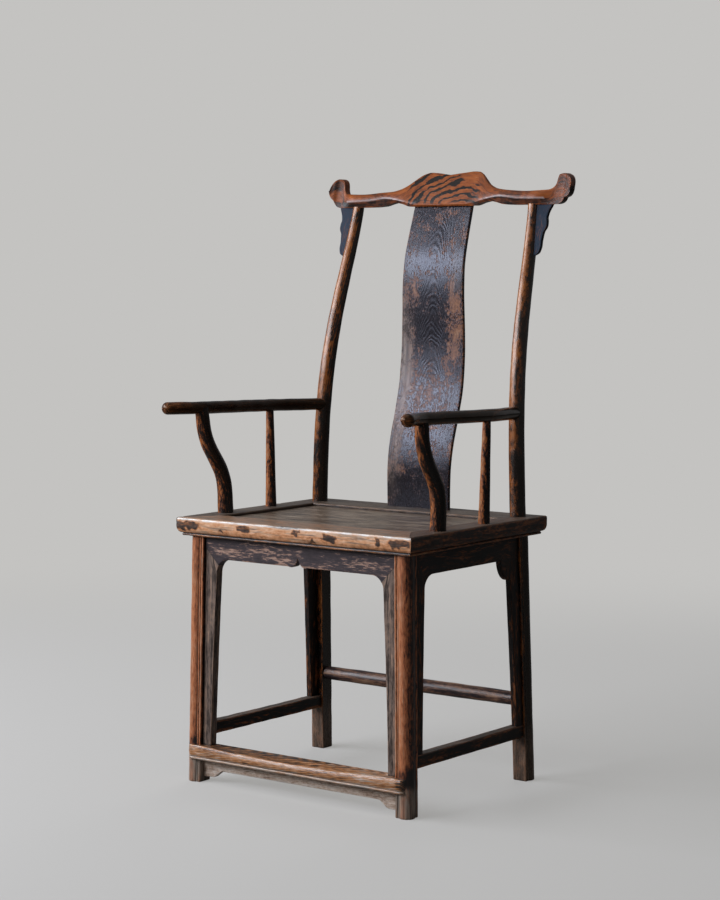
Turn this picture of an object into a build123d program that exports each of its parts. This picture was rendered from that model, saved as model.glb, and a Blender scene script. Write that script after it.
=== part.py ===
from build123d import *
from math import atan2, cos, degrees, exp, hypot, pi
import os

os.makedirs("parts", exist_ok=True)

# A high yoke-back armchair. Its front faces -Y and the floor is z = 0.
# Lengths are in millimetres.

# Seat
seat_width = 567.0  # over the moulded edge, left to right
seat_depth = 446.0
seat_height = 520.0  # floor to the top of the frame
seat_thick = 36.0
seat_center_y = -29.6  # the seat lies forward because the back leans
side_rail_width = 54.0
front_rail_width = 75.0
rear_rail_width = 90.0
edge_round = 4.0  # upper arris of the moulded edge
edge_flat = 15.0  # upright part of it
edge_taper = 7.5  # how far it draws in below
bead_height = 5.0  # bead along the bottom
bead_inset = 8.5
mitre_offset = 1.5  # the mitres end this far round the corners, on the side rails

# Floating panel and its two battens
panel_drop = 6.0  # panel top below the frame top
panel_thick = 11.0
tongue_thick = 5.0
tongue_depth = 8.0
batten_width = 30.0
batten_thick = 13.0
batten_spacing = 190.0
batten_tenon = 12.0
batten_tenon_width = 21.0
batten_tenon_thick = 8.45
dovetail_height = 3.5
dovetail_width = 17.0
dovetail_flare = 1.2

# Joints
fit = 0.15  # play round each tenon and tongue
frame_tenon_thick = 9.0
frame_tenon_width = 18.0
frame_tenon_reach = 34.0  # past the inner corner, into the side rail
frame_tenon_inset = 7.0  # from the inner edge
frame_tenon_lift = 7.0  # above the underside of the seat
leg_tenon = 14.0
leg_tenon_length = 20.0
groove_depth = 4.5  # tongues of the apron frames
groove_width = 5.0
stretcher_tenon_width = 10.0
stretcher_tenon_height = 14.0
stretcher_tenon_length = 16.0

# Legs: a round outside, a square block inside
leg_radius = 15.0
block_in = 19.0  # from the round's centre towards the seat's middle
block_out = 12.0  # and outwards
bead_width = 4.0  # bead at the block's corner, beside a groove
leg_groove = 1.3
leg_edge_inset = 34.1  # seat edge to leg centre, under the seat
front_leg_setback = 31.0
rear_leg_setback = 42.5
side_splay = 8.0  # each foot stands this far outside its top
front_splay = 8.4
rear_splay = 13.2

# Back posts, which continue the rear legs
post_radius = 15.2
post_mid_radius = 14.6
post_top_radius = 10.8
back_rise = 604.0  # seat top to the underside of the crest
back_lean = 97.0
back_inward = 29.0
post_tenon_radius = 6.5
post_tenon_length = 16.0

# Splat
splat_width = 155.0
splat_foot_width = 152.0
splat_top_width = 141.0
splat_thick = 8.0
splat_setback = 40.5  # rear edge of the seat to the splat's face
splat_behind = 1.7  # its middle behind the post centres, at the top
splat_tongue = 12.0
splat_top_tongue = 9.0
splat_tongue_thick = 5.0
splat_tongue_inset = 6.0

# Crest rail
crest_height = 28.0  # of the plain stretches
crest_depth = 28.0
crest_crease = 12.5  # crease of the face above the underside
crest_turn = 3.0  # how far the face turns under below it
crest_set = 7.0  # top arris behind the crease
crest_top_thick = 13.0
crest_arch = 6.0  # rise of the underside between splat and post
crest_arch_half = 34.0
crest_arch_x = 116.0
hump_height = 70.0  # over the underside
hump_dip = 6.0
hump_half = 57.0  # middle to each peak
hump_lean = 0.7  # backward slope of its face
hump_shoulder = 93.0  # middle to the steep side of the hump
hump_foot = 112.0  # middle to the slower slope beyond it
crest_end_x = 258.0  # where the knobs take over
crest_stations = 43
knob_center_x = 279.0
knob_height = 60.5
knob_radius = 22.0
knob_thick = 20.0
knob_set = 2.0  # behind the middle of the rail

# Spandrels
spandrel_height = 101.0
spandrel_width = 35.0
spandrel_thick = 8.0
spandrel_housing = 3.0

# Arms and their posts
arm_rise = 200.5  # seat top to the arm's middle at the back post
arm_climb = 12.0  # the tip lies higher than that
arm_width = 26.5
arm_height = 23.5
arm_end_round = 8.5
arm_overhang = 82.0  # past the gooseneck, along Y
arm_flare = 31.0
arm_tenon_radius = 5.5
arm_tenon_back = 4.0
arm_tenon_length = 20.0
gooseneck_radius = 14.2
gooseneck_top_radius = 12.4
gooseneck_inset = 25.0  # from the seat's side edge
gooseneck_setback = 117.5
gooseneck_sweep = 60.5
gooseneck_spread = 7.5
side_post_radius = 10.7
side_post_top_radius = 7.2
side_post_inset = 21.3
side_post_setback = 261.3
side_post_spread = 4.0
side_post_lean = 3.0
seat_tenon_length = 18.0
gooseneck_tenon_radius = 7.0
side_tenon_radius = 5.5
top_tenon_radius = 4.5
top_tenon_length = 6.0  # past the arm's middle

# Frames of apron and strips under the seat
apron_height = 43.0
front_apron_thick = 17.0
side_apron_thick = 12.0
rear_apron_thick = 14.0
apron_recess = 7.0  # behind the face of the leg blocks
side_recess = 5.0
strip_top_width = 31.0
strip_foot_width = 21.0
corner_radius = 27.0
cusp_height = 16.0
cusp_width = 14.0
ear_width = 31.0
ear_height = 41.0
mitre_drop = 21.0  # seat underside to the outer end of the mitre

# Footrest and stretchers
footrest_top = 74.0
footrest_bottom = 46.5
footrest_front = 22.0  # ahead of the front legs' centres
footrest_back = 16.0
footrest_end = 6.5  # past the front legs' centres
footrest_corner = 9.0
footrest_bead = 5.5
footrest_nose = 5.0
footrest_quirk = 1.0  # groove above the bead
footrest_wear = 8.5  # hollow worn in the upper arris
footrest_wear_radius = 2600.0
footrest_wear_slope = 0.55
footrest_apron_height = 21.5
footrest_apron_thick = 10.0
footrest_apron_setback = 12.0
footrest_ear = 14.5
footrest_ear_width = 22.0
side_stretcher_top = 112.5
side_stretcher_height = 25.0
side_stretcher_width = 22.0
stretcher_round = 1.5
rear_stretcher_radius = 14.0
rear_stretcher_height = 159.5
rear_tenon_radius = 8.0

# Places that follow from the sizes above
seat_right = seat_width / 2
seat_front = seat_center_y - seat_depth / 2
seat_rear = seat_center_y + seat_depth / 2
seat_bottom = seat_height - seat_thick
inner_right = seat_right - side_rail_width
inner_front = seat_front + front_rail_width
inner_rear = seat_rear - rear_rail_width
panel_top = seat_height - panel_drop
panel_bottom = panel_top - panel_thick
crest_bottom = seat_height + back_rise
block_shift = (block_in - block_out) / 2
block_size = block_in + block_out
opening_top = seat_bottom - apron_height
mitre_top = seat_bottom - mitre_drop


def splay(z):
    """Share of a leg's splay at a height: none at the seat, all of it at the floor."""
    return (seat_bottom - z) / seat_bottom


def leg_x(z):
    return seat_right - leg_edge_inset + side_splay * splay(z)


def front_leg_y(z):
    return seat_front + front_leg_setback - front_splay * splay(z)


def rear_leg_y(z):
    return seat_rear - rear_leg_setback + rear_splay * splay(z)


def leg_inner_x(z):
    return leg_x(z) - block_in


def front_leg_back(z):
    return front_leg_y(z) + block_in


def rear_leg_face(z):
    return rear_leg_y(z) - block_in


post_foot_x = leg_x(seat_bottom) - block_shift
post_foot_y = rear_leg_y(seat_bottom) - block_shift


def post_center(z):
    """Right back post: upright at the seat, then leaning back and in."""
    t = (z - seat_height) / back_rise
    lean = t**3 * (1.28 + 1.34 * t - 1.62 * t**2)
    inward = 0.55 * t + 0.45 * t**2
    return post_foot_x - back_inward * inward, post_foot_y + back_lean * lean


def post_size(z):
    """Radius of a back post: most of its taper is in the upper part."""
    t = (z - seat_height) / back_rise
    return post_radius - (post_radius - post_mid_radius) * t - (post_mid_radius - post_top_radius) * t**3


post_top_x, post_top_y = post_center(crest_bottom)
crest_y = post_top_y + splat_behind
splat_foot = seat_rear - splat_setback
splat_head = crest_y - splat_thick / 2
arm_back_z = seat_height + arm_rise
gooseneck_x = seat_right - gooseneck_inset
gooseneck_y = seat_front + gooseneck_setback
side_post_x = seat_right - side_post_inset
side_post_y = seat_front + side_post_setback
arm_back_x, arm_back_y = post_center(arm_back_z)
arm_tip_y = gooseneck_y - gooseneck_sweep - arm_overhang


def arm_z(y):
    """Height of the arm's middle: it climbs evenly towards the tip."""
    return arm_back_z + arm_climb * (arm_back_y - y) / (arm_back_y - arm_tip_y)


def write(part, name):
    part.part.label = name
    export_step(part.part, f"parts/{name}.step")


def write_pair(right, name):
    """Write a right-hand piece and its mirror image."""
    write(right, f"right_{name}")
    with BuildPart() as left:
        mirror(right.part, about=Plane.YZ)
    write(left, f"left_{name}")


# Frames of apron and strips: each lies in a plane that leans with the legs
front_slope = hypot(front_splay, seat_bottom) / seat_bottom
side_slope = hypot(side_splay, seat_bottom) / seat_bottom
front_plane = Plane(
    origin=(0, front_leg_y(0) - block_out + apron_recess, 0),
    x_dir=(1, 0, 0),
    z_dir=(0, -seat_bottom, front_splay),
)
side_plane = Plane(
    origin=(leg_x(0) + block_out - side_recess, 0, 0),
    x_dir=(0, 1, 0),
    z_dir=(seat_bottom, 0, side_splay),
)


def strip_width(z):
    share = (z - footrest_top) / (opening_top - footrest_top)
    return strip_foot_width + (strip_top_width - strip_foot_width) * share**1.5


def polygon(points):
    """Closed sketch through the points."""
    with BuildSketch() as shape:
        with BuildLine():
            Polyline(*points, close=True)
        make_face()
    return shape.sketch_local


def frame_opening(left_edge, right_edge, bottom, slope, rounded):
    """Opening between two strips, with its upper corners rounded on the sides asked for."""
    heights = (bottom, (bottom + opening_top) / 2, opening_top)
    left = [(left_edge(z), z * slope) for z in heights]
    right = [(right_edge(z), z * slope) for z in heights]
    with BuildSketch() as shape:
        with BuildLine():
            Spline(*left)
            Line(left[-1], right[-1])
            Spline(*reversed(right))
            Line(right[0], left[0])
        make_face()
        top = shape.vertices().group_by(Axis.Y)[-1].sort_by(Axis.X)
        if rounded == "both":
            fillet(top, corner_radius)
        else:
            fillet(top[0], corner_radius)
    return shape.sketch_local


def front_strip_edge(z):
    return leg_inner_x(z) - strip_width(z)


def front_opening():
    """Opening of the front frame, with a cusp in the middle of its upper edge."""
    top = opening_top * front_slope
    with BuildSketch() as shape:
        add(
            frame_opening(
                lambda z: -front_strip_edge(z), front_strip_edge, footrest_top, front_slope, "both"
            )
        )
        with BuildLine():
            Spline(
                (-cusp_width / 2, top - 1),
                (-cusp_width / 5, top + cusp_height / 4),
                (0, top + cusp_height),
                tangents=((1, 0.2), (0.1, 1)),
            )
            Spline(
                (0, top + cusp_height),
                (cusp_width / 5, top + cusp_height / 4),
                (cusp_width / 2, top - 1),
                tangents=((0.1, -1), (1, -0.2)),
            )
            Line((cusp_width / 2, top - 1), (-cusp_width / 2, top - 1))
        make_face()
    return shape.sketch_local


def front_strip_region(grow):
    """Right strip up to its mitre; grow carries its tongue into the leg."""
    reach = strip_top_width + corner_radius / 2
    inside = leg_inner_x(mitre_top) - reach
    return polygon(
        [
            (leg_inner_x(footrest_top) + grow, footrest_top * front_slope),
            (leg_inner_x(mitre_top) + grow, (mitre_top + grow) * front_slope),
            (inside, (mitre_top - reach) * front_slope),
            (inside, footrest_top * front_slope),
        ]
    )


def front_apron_region(grow):
    """Apron between the mitres; grow carries its tongues into the legs and the seat."""
    reach = strip_top_width + corner_radius / 2
    outline = [
        (leg_inner_x(seat_bottom) + grow, (seat_bottom + grow) * front_slope),
        (leg_inner_x(mitre_top) + grow, (mitre_top + grow) * front_slope),
        (leg_inner_x(mitre_top) - reach, (mitre_top - reach) * front_slope),
    ]
    return polygon(outline + [(-x, z) for x, z in reversed(outline)])


def side_front_edge(z):
    return front_leg_back(z) + strip_width(z)


def side_rear_edge(z):
    return rear_leg_face(z) - strip_width(z)


def side_opening():
    """Opening of a side frame: a round corner in front, a convex ear at the back."""
    top = opening_top * side_slope
    with BuildSketch() as shape:
        add(frame_opening(side_front_edge, side_rear_edge, side_stretcher_top, side_slope, "front"))
        corner = side_rear_edge(opening_top)
        with BuildSketch(mode=Mode.SUBTRACT):
            with Locations((corner + ear_width * 0.05, top + ear_height * 0.02)):
                Ellipse(ear_width, ear_height)
    return shape.sketch_local


def side_strip_region(face, inward, grow):
    """Strip against a leg's face up to its mitre; inward is +1 in front and -1 behind."""
    reach = strip_top_width + corner_radius / 2
    inside = face(mitre_top) + inward * reach
    return polygon(
        [
            (face(side_stretcher_top) - inward * grow, side_stretcher_top * side_slope),
            (face(mitre_top) - inward * grow, (mitre_top + grow) * side_slope),
            (inside, (mitre_top - reach) * side_slope),
            (inside, side_stretcher_top * side_slope),
        ]
    )


def side_apron_region(grow):
    reach = strip_top_width + corner_radius / 2
    outline = []
    for face, inward in ((front_leg_back, 1), (rear_leg_face, -1)):
        corner = [
            (face(seat_bottom) - inward * grow, (seat_bottom + grow) * side_slope),
            (face(mitre_top) - inward * grow, (mitre_top + grow) * side_slope),
            (face(mitre_top) + inward * reach, (mitre_top - reach) * side_slope),
        ]
        outline += corner if inward == 1 else corner[::-1]
    return polygon(outline)


def rear_apron_region(grow):
    outline = [
        (leg_inner_x(seat_bottom) + grow, seat_bottom + grow),
        (leg_inner_x(opening_top) + grow, opening_top),
    ]
    return polygon(outline + [(-x, z) for x, z in reversed(outline)])


def tongued(plane, thick, region, opening, floor=0):
    """Plate of a region less the opening, tongued round its outer edge and cut level at the floor."""
    with BuildPart() as plate:
        with BuildSketch(plane):
            add(region(0))
            if opening:
                add(opening, mode=Mode.SUBTRACT)
        extrude(amount=-thick)
        with BuildSketch(plane.offset(-(thick - groove_width) / 2)):
            add(region(groove_depth))
            if opening:
                add(opening, mode=Mode.SUBTRACT)
        extrude(amount=-groove_width)
        if floor:
            split(bisect_by=Plane.XY.offset(floor))
    return plate


def groove(plane, thick, regions):
    """Cutter for the grooves that take those tongues."""
    with BuildPart() as cutter:
        with BuildSketch(plane.offset(-(thick - groove_width) / 2 + fit)):
            for region in regions:
                add(region(groove_depth + fit))
        extrude(amount=-groove_width - 2 * fit)
    return cutter.part


rear_plane = Plane(
    origin=(0, rear_leg_y(seat_bottom) - block_shift - rear_apron_thick / 2, 0),
    x_dir=(1, 0, 0),
    z_dir=(0, -1, 0),
)


def front_strip(grow):
    return front_strip_region(grow)


def side_front_strip(grow):
    return side_strip_region(front_leg_back, 1, grow)


def side_rear_strip(grow):
    return side_strip_region(rear_leg_face, -1, grow)


front_groove = groove(front_plane, front_apron_thick, (front_strip, front_apron_region))
side_regions = (side_front_strip, side_rear_strip, side_apron_region)
side_groove = groove(side_plane, side_apron_thick, side_regions)
rear_groove = groove(rear_plane, rear_apron_thick, (rear_apron_region,))

write(tongued(front_plane, front_apron_thick, front_apron_region, front_opening()), "front_apron")
strip = tongued(front_plane, front_apron_thick, front_strip, front_opening(), footrest_top)
write_pair(strip, "front_strip")
write_pair(tongued(side_plane, side_apron_thick, side_apron_region, side_opening()), "side_apron")
strip = tongued(side_plane, side_apron_thick, side_front_strip, side_opening(), side_stretcher_top)
write_pair(strip, "side_front_strip")
strip = tongued(side_plane, side_apron_thick, side_rear_strip, side_opening(), side_stretcher_top)
write_pair(strip, "side_rear_strip")
write(tongued(rear_plane, rear_apron_thick, rear_apron_region, None), "rear_apron")


# Stretchers
side_stretcher_bottom = side_stretcher_top - side_stretcher_height
side_stretcher_mid = (side_stretcher_top + side_stretcher_bottom) / 2
side_stretcher_x = leg_x(side_stretcher_mid) - block_shift


def side_tenons(extra):
    """Tenons at both ends of a side stretcher, or with extra the mortises for them."""
    with BuildPart() as tenons:
        ends = (front_leg_back(side_stretcher_mid), rear_leg_face(side_stretcher_mid))
        length = ends[1] - ends[0] + 2 * (stretcher_tenon_length + extra)
        with Locations((side_stretcher_x, sum(ends) / 2, side_stretcher_mid)):
            Box(stretcher_tenon_width + 2 * extra, length, stretcher_tenon_height + 2 * extra)
    return tenons.part


with BuildPart() as side_stretcher:
    with BuildSketch(Plane.YZ.offset(side_stretcher_x - side_stretcher_width / 2)):
        with BuildLine():
            Polyline(
                (front_leg_back(side_stretcher_bottom), side_stretcher_bottom),
                (front_leg_back(side_stretcher_top), side_stretcher_top),
                (rear_leg_face(side_stretcher_top), side_stretcher_top),
                (rear_leg_face(side_stretcher_bottom), side_stretcher_bottom),
                close=True,
            )
        make_face()
    extrude(amount=side_stretcher_width)
    fillet(side_stretcher.edges().filter_by(Axis.Y), stretcher_round)
    add(side_tenons(0))
write_pair(side_stretcher, "side_stretcher")

rear_stretcher_y = rear_leg_y(rear_stretcher_height) - block_shift
rear_stretcher_spot = (0, rear_stretcher_y, rear_stretcher_height)


def rear_tenons(extra):
    with BuildPart() as tenons:
        half = leg_inner_x(rear_stretcher_height) + stretcher_tenon_length + extra
        with Locations(rear_stretcher_spot):
            Cylinder(rear_tenon_radius + extra, 2 * half, rotation=(0, 90, 0))
    return tenons.part


with BuildPart() as rear_stretcher:
    with Locations(rear_stretcher_spot):
        Cylinder(rear_stretcher_radius, 2 * leg_x(0), rotation=(0, 90, 0))
    low = rear_stretcher_height - rear_stretcher_radius - 1
    high = rear_stretcher_height + rear_stretcher_radius + 1
    with BuildSketch(Plane.XZ.offset(-rear_stretcher_y - rear_stretcher_radius)):
        with BuildLine():
            Polyline(
                (-leg_inner_x(low), low),
                (leg_inner_x(low), low),
                (leg_inner_x(high), high),
                (-leg_inner_x(high), high),
                close=True,
            )
        make_face()
    extrude(amount=2 * rear_stretcher_radius, mode=Mode.INTERSECT)
    add(rear_tenons(0))
write(rear_stretcher, "rear_stretcher")


# Legs
def leg_section():
    """Round outside and square inside, centred on the round; +X and +Y point inwards."""
    with BuildSketch() as section:
        Circle(leg_radius)
        with Locations((block_in / 2, block_shift)):
            Rectangle(block_in, block_size)
        with Locations((block_shift, block_in / 2)):
            Rectangle(block_size, block_in)
        spot = block_in - bead_width - leg_groove
        with Locations((spot, -block_out), (-block_out, spot)):
            Circle(leg_groove, mode=Mode.SUBTRACT)
    return section.sketch_local


def leg_run(across, along):
    """Direction and length of a leg from floor to seat."""
    path = Vector(across, along, seat_bottom)
    return {"dir": path, "amount": path.length}


front_leg_spot = (leg_x(0), front_leg_y(0), 0)
rear_leg_spot = (leg_x(0), rear_leg_y(0), 0)
footrest_mid = (footrest_top + footrest_bottom) / 2
footrest_y = front_leg_y(footrest_mid)
footrest_face = footrest_y - footrest_front
footrest_rear = footrest_y + footrest_back
footrest_half = leg_x(footrest_mid) + footrest_end
footrest_apron_plane = Plane(
    origin=(0, front_leg_y(footrest_bottom) - block_out + footrest_apron_setback, 0),
    x_dir=(1, 0, 0),
    z_dir=(0, -1, 0),
)


def footrest_apron_region(grow):
    """Apron with an ear that drops along each leg; grow carries its tongues."""
    mid = footrest_bottom - footrest_apron_height
    low = mid - footrest_ear
    leg = leg_inner_x(mid)
    with BuildSketch() as shape:
        with BuildLine():
            Polyline(
                (0, mid),
                (0, footrest_bottom + grow),
                (leg_inner_x(footrest_bottom) + grow, footrest_bottom + grow),
                (leg_inner_x(low) + grow, low),
                (leg - footrest_ear_width * 0.5, low),
            )
            Spline(
                (leg - footrest_ear_width * 0.5, low),
                (leg - footrest_ear_width, (low + mid) / 2),
                (leg - footrest_ear_width * 1.7, mid),
                tangents=((-1, 0), (-1, 0.05)),
            )
            Line((leg - footrest_ear_width * 1.7, mid), (0, mid))
        make_face()
        mirror(about=Plane.YZ)
    return shape.sketch_local


def footrest_tenons(extra):
    with BuildPart() as tenons:
        half = leg_inner_x(footrest_mid) + stretcher_tenon_length + extra
        with Locations((0, footrest_y + block_shift, footrest_mid)):
            Box(2 * half, stretcher_tenon_width + 2 * extra, stretcher_tenon_height + 2 * extra)
    return tenons.part


footrest_groove = groove(footrest_apron_plane, footrest_apron_thick, (footrest_apron_region,))


def leg_tenons(extra):
    with BuildPart() as tenon:
        spot = (leg_x(seat_bottom) - block_shift, front_leg_y(seat_bottom) + block_shift, seat_bottom)
        with Locations(spot):
            Box(
                leg_tenon + 2 * extra,
                leg_tenon + 2 * extra,
                leg_tenon_length + extra,
                align=(Align.CENTER, Align.CENTER, Align.MIN),
            )
    return tenon.part


with BuildPart() as front_leg:
    with BuildSketch(Plane(origin=front_leg_spot, x_dir=(0, 1, 0))):
        add(leg_section())
    extrude(**leg_run(-side_splay, front_splay))
    add(leg_tenons(0))
    leg_block = front_leg.part
    add(front_groove, mode=Mode.SUBTRACT)
    add(side_groove, mode=Mode.SUBTRACT)
    add(side_tenons(fit), mode=Mode.SUBTRACT)
    add(footrest_tenons(fit), mode=Mode.SUBTRACT)
    add(footrest_groove, mode=Mode.SUBTRACT)
write_pair(front_leg, "front_leg")


# Arms and their posts
def arm_path():
    """The arm's middle line, from the back post's centre over both posts to the tip."""
    stops = [
        (arm_back_x, arm_back_y),
        (side_post_x + side_post_spread, side_post_y + side_post_lean),
        (gooseneck_x + gooseneck_spread, gooseneck_y - gooseneck_sweep),
        (gooseneck_x + gooseneck_spread + arm_flare, arm_tip_y),
    ]
    with BuildLine() as line:
        Spline(*[(x, y, arm_z(y)) for x, y in stops])
    return line.line


def along(path, share):
    """Plane across a path, with its X level."""
    tangent = path % share
    return Plane(origin=path @ share, x_dir=tangent.cross(Vector(0, 0, 1)), z_dir=tangent)


arm_line = arm_path()
arm_start = along(arm_line, 0)

with BuildPart() as arm_body:
    for share in (0, 0.12, 0.27, 0.42, 0.57, 0.7, 0.8, 0.9, 1):
        with BuildSketch(along(arm_line, share)):
            Ellipse(arm_width / 2, arm_height / 2)
    loft()
    fillet(arm_body.faces().sort_by(Axis.Y)[0].edges(), arm_end_round)


def arm_tenon(extra):
    with BuildPart() as tenon:
        with BuildSketch(arm_start.offset(-arm_tenon_back - extra)):
            Circle(arm_tenon_radius + extra)
        extrude(amount=arm_tenon_length + arm_tenon_back + extra)
    return tenon.part


def round_tenon(spot, radius, length, extra):
    """Upright round tenon that stands on a spot, or hangs from it with a negative length."""
    with BuildPart() as tenon:
        with BuildSketch(Plane(origin=spot)):
            Circle(radius + extra)
        extrude(amount=length + (extra if length > 0 else -extra))
    return tenon.part


gooseneck_arm_z = arm_z(gooseneck_y - gooseneck_sweep)
gooseneck_foot = (gooseneck_x, gooseneck_y, seat_height)
gooseneck_head = (gooseneck_x + gooseneck_spread, gooseneck_y - gooseneck_sweep, gooseneck_arm_z)
side_post_arm_z = arm_z(side_post_y + side_post_lean)
side_post_foot = (side_post_x, side_post_y, seat_height)
side_post_head = (side_post_x + side_post_spread, side_post_y + side_post_lean, side_post_arm_z)

# Rise and forward sweep of the gooseneck, as shares of the whole
gooseneck_curve = ((0, 0), (0.24, 0), (0.38, 0.11), (0.525, 0.44), (0.67, 0.77), (0.81, 0.935), (1, 1))

with BuildPart() as gooseneck_post:
    with BuildLine(mode=Mode.PRIVATE) as gooseneck_line:
        Spline(
            *[
                (
                    gooseneck_x + gooseneck_spread * rise,
                    gooseneck_y - gooseneck_sweep * sweep,
                    seat_height + (gooseneck_arm_z - seat_height) * rise,
                )
                for rise, sweep in gooseneck_curve
            ],
            tangents=((0, 0, 1), (0, -0.12, 1)),
        )
    for share in (0, 0.15, 0.3, 0.42, 0.54, 0.66, 0.78, 0.9, 1):
        with BuildSketch(along(gooseneck_line.line, share) if share else Plane(origin=gooseneck_foot)):
            Circle(gooseneck_radius + (gooseneck_top_radius - gooseneck_radius) * share)
    loft()
    add(arm_body.part, mode=Mode.SUBTRACT)
    add(round_tenon(gooseneck_foot, gooseneck_tenon_radius, -seat_tenon_length, 0))
    head = Vector(*gooseneck_head) - Vector(0, 0, arm_height)
    add(round_tenon(head, top_tenon_radius, arm_height + top_tenon_length, 0))
write_pair(gooseneck_post, "gooseneck_post")

with BuildPart() as side_post:
    with BuildSketch(Plane(origin=side_post_foot)):
        Circle(side_post_radius)
    with BuildSketch(Plane(origin=side_post_head)):
        Circle(side_post_top_radius)
    loft()
    add(arm_body.part, mode=Mode.SUBTRACT)
    add(round_tenon(side_post_foot, side_tenon_radius, -seat_tenon_length, 0))
    head = Vector(*side_post_head) - Vector(0, 0, arm_height)
    add(round_tenon(head, top_tenon_radius, arm_height + top_tenon_length, 0))
write_pair(side_post, "side_post")


# Rear legs with the back posts
def post_hole():
    with BuildPart() as hole:
        with BuildSketch(Plane(origin=(post_foot_x, post_foot_y, seat_bottom))):
            Circle(post_radius + fit)
        extrude(amount=seat_thick)
    return hole.part


# Outline of a spandrel in the leaning plane of the back, from the crest down its free edge
spandrel_slope = (post_top_y - post_center(crest_bottom - spandrel_height)[1]) / spandrel_height
spandrel_plane = Plane(
    origin=(0, post_top_y, crest_bottom),
    x_dir=(1, 0, 0),
    z_dir=(0, -1, spandrel_slope),
)
spandrel_stretch = hypot(1, spandrel_slope)

# Free edge, lobe by lobe: reach past the post and drop below the crest, as shares of the whole
spandrel_lobes = (
    ((1, 0), (0.829, 0.17), (0.786, 0.26)),
    ((0.786, 0.26), (0.871, 0.34), (0.843, 0.44), (0.7, 0.5)),
    ((0.7, 0.5), (0.657, 0.72), (0.614, 0.9), (0.514, 0.965)),
)


def spandrel_outline():
    low = crest_bottom - spandrel_height
    inner_top = post_top_x + post_top_radius - spandrel_housing
    inner_low = post_center(low)[0] + post_size(low) - spandrel_housing
    post_side = post_top_x + post_top_radius
    outer = post_side + spandrel_width
    height = spandrel_height * spandrel_stretch
    with BuildSketch() as shape:
        with BuildLine():
            Polyline(
                (inner_low, -height),
                (inner_top, spandrel_housing),
                (outer, spandrel_housing),
                (outer, 0),
            )
            for lobe in spandrel_lobes:
                edge = Spline(*[(post_side + spandrel_width * reach, -height * drop) for reach, drop in lobe])
            Line(edge @ 1, (inner_low, -height))
        make_face()
    return shape.sketch_local


def spandrel_plate(extra):
    with BuildPart() as plate:
        with BuildSketch(spandrel_plane.offset(spandrel_thick / 2 + extra)):
            add(spandrel_outline())
        extrude(amount=-spandrel_thick - 2 * extra)
    return plate.part


def post_core():
    """Back post above the seat, before its joints are cut."""
    with BuildPart() as core:
        for share in (0, 0.12, 0.27, 0.42, 0.57, 0.7, 0.8, 0.9, 1):
            z = seat_height + back_rise * share
            with BuildSketch(Plane(origin=(*post_center(z), z))):
                Circle(post_size(z))
        loft()
    return core.part


def post_tenon(extra):
    return round_tenon((post_top_x, post_top_y, crest_bottom), post_tenon_radius, post_tenon_length, extra)


with BuildPart() as rear_post:
    with BuildSketch(Plane(origin=rear_leg_spot, x_dir=(-1, 0, 0))):
        add(leg_section())
    extrude(**leg_run(-side_splay, -rear_splay))
    with BuildSketch(Plane(origin=(post_foot_x, post_foot_y, seat_bottom))):
        Circle(post_radius)
    extrude(amount=seat_thick)
    add(post_core())
    add(post_tenon(0))
    add(side_groove, mode=Mode.SUBTRACT)
    add(rear_groove, mode=Mode.SUBTRACT)
    add(side_tenons(fit), mode=Mode.SUBTRACT)
    add(rear_tenons(fit), mode=Mode.SUBTRACT)
    add(arm_tenon(fit), mode=Mode.SUBTRACT)
    add(spandrel_plate(fit), mode=Mode.SUBTRACT)
write_pair(rear_post, "rear_post")

with BuildPart() as arm_rail:
    add(arm_body.part)
    add(post_core(), mode=Mode.SUBTRACT)
    add(arm_tenon(0))
    for head in (gooseneck_head, side_post_head):
        socket = Vector(*head) - Vector(0, 0, arm_height)
        add(round_tenon(socket, top_tenon_radius, arm_height + top_tenon_length, fit), mode=Mode.SUBTRACT)
write_pair(arm_rail, "arm_rail")

with BuildPart() as spandrel:
    add(spandrel_plate(0))
write_pair(spandrel, "spandrel")


# Splat: an S in side view. Rise and backward travel, as shares of the whole
splat_curve = (
    (0, 0),
    (0.116, 0.003),
    (0.215, 0.106),
    (0.315, 0.319),
    (0.43, 0.51),
    (0.563, 0.574),
    (0.712, 0.562),
    (0.811, 0.612),
    (0.894, 0.767),
    (1, 1),
)
splat_tangents = ((0, 1), (0.33, 1))


def splat_line(back):
    """Points of the splat's side view, this far behind its face."""
    points = []
    for rise, travel in splat_curve:
        y = splat_foot + (splat_head - splat_foot) * travel + back
        points.append((y, seat_height + back_rise * rise))
    return points


def splat_tongues(extra):
    """Tongues that stand in the rear rail and the crest."""
    with BuildPart() as tongues:
        thick = splat_tongue_thick + 2 * extra
        with Locations((0, splat_foot + splat_thick / 2, seat_height)):
            Box(
                splat_width - 2 * splat_tongue_inset + 2 * extra,
                thick,
                splat_tongue + extra,
                align=(Align.CENTER, Align.CENTER, Align.MAX),
            )
        with Locations((0, crest_y, crest_bottom)):
            Box(
                splat_top_width - 2 * splat_tongue_inset + 2 * extra,
                thick,
                splat_top_tongue + extra,
                align=(Align.CENTER, Align.CENTER, Align.MIN),
            )
    return tongues.part


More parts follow.
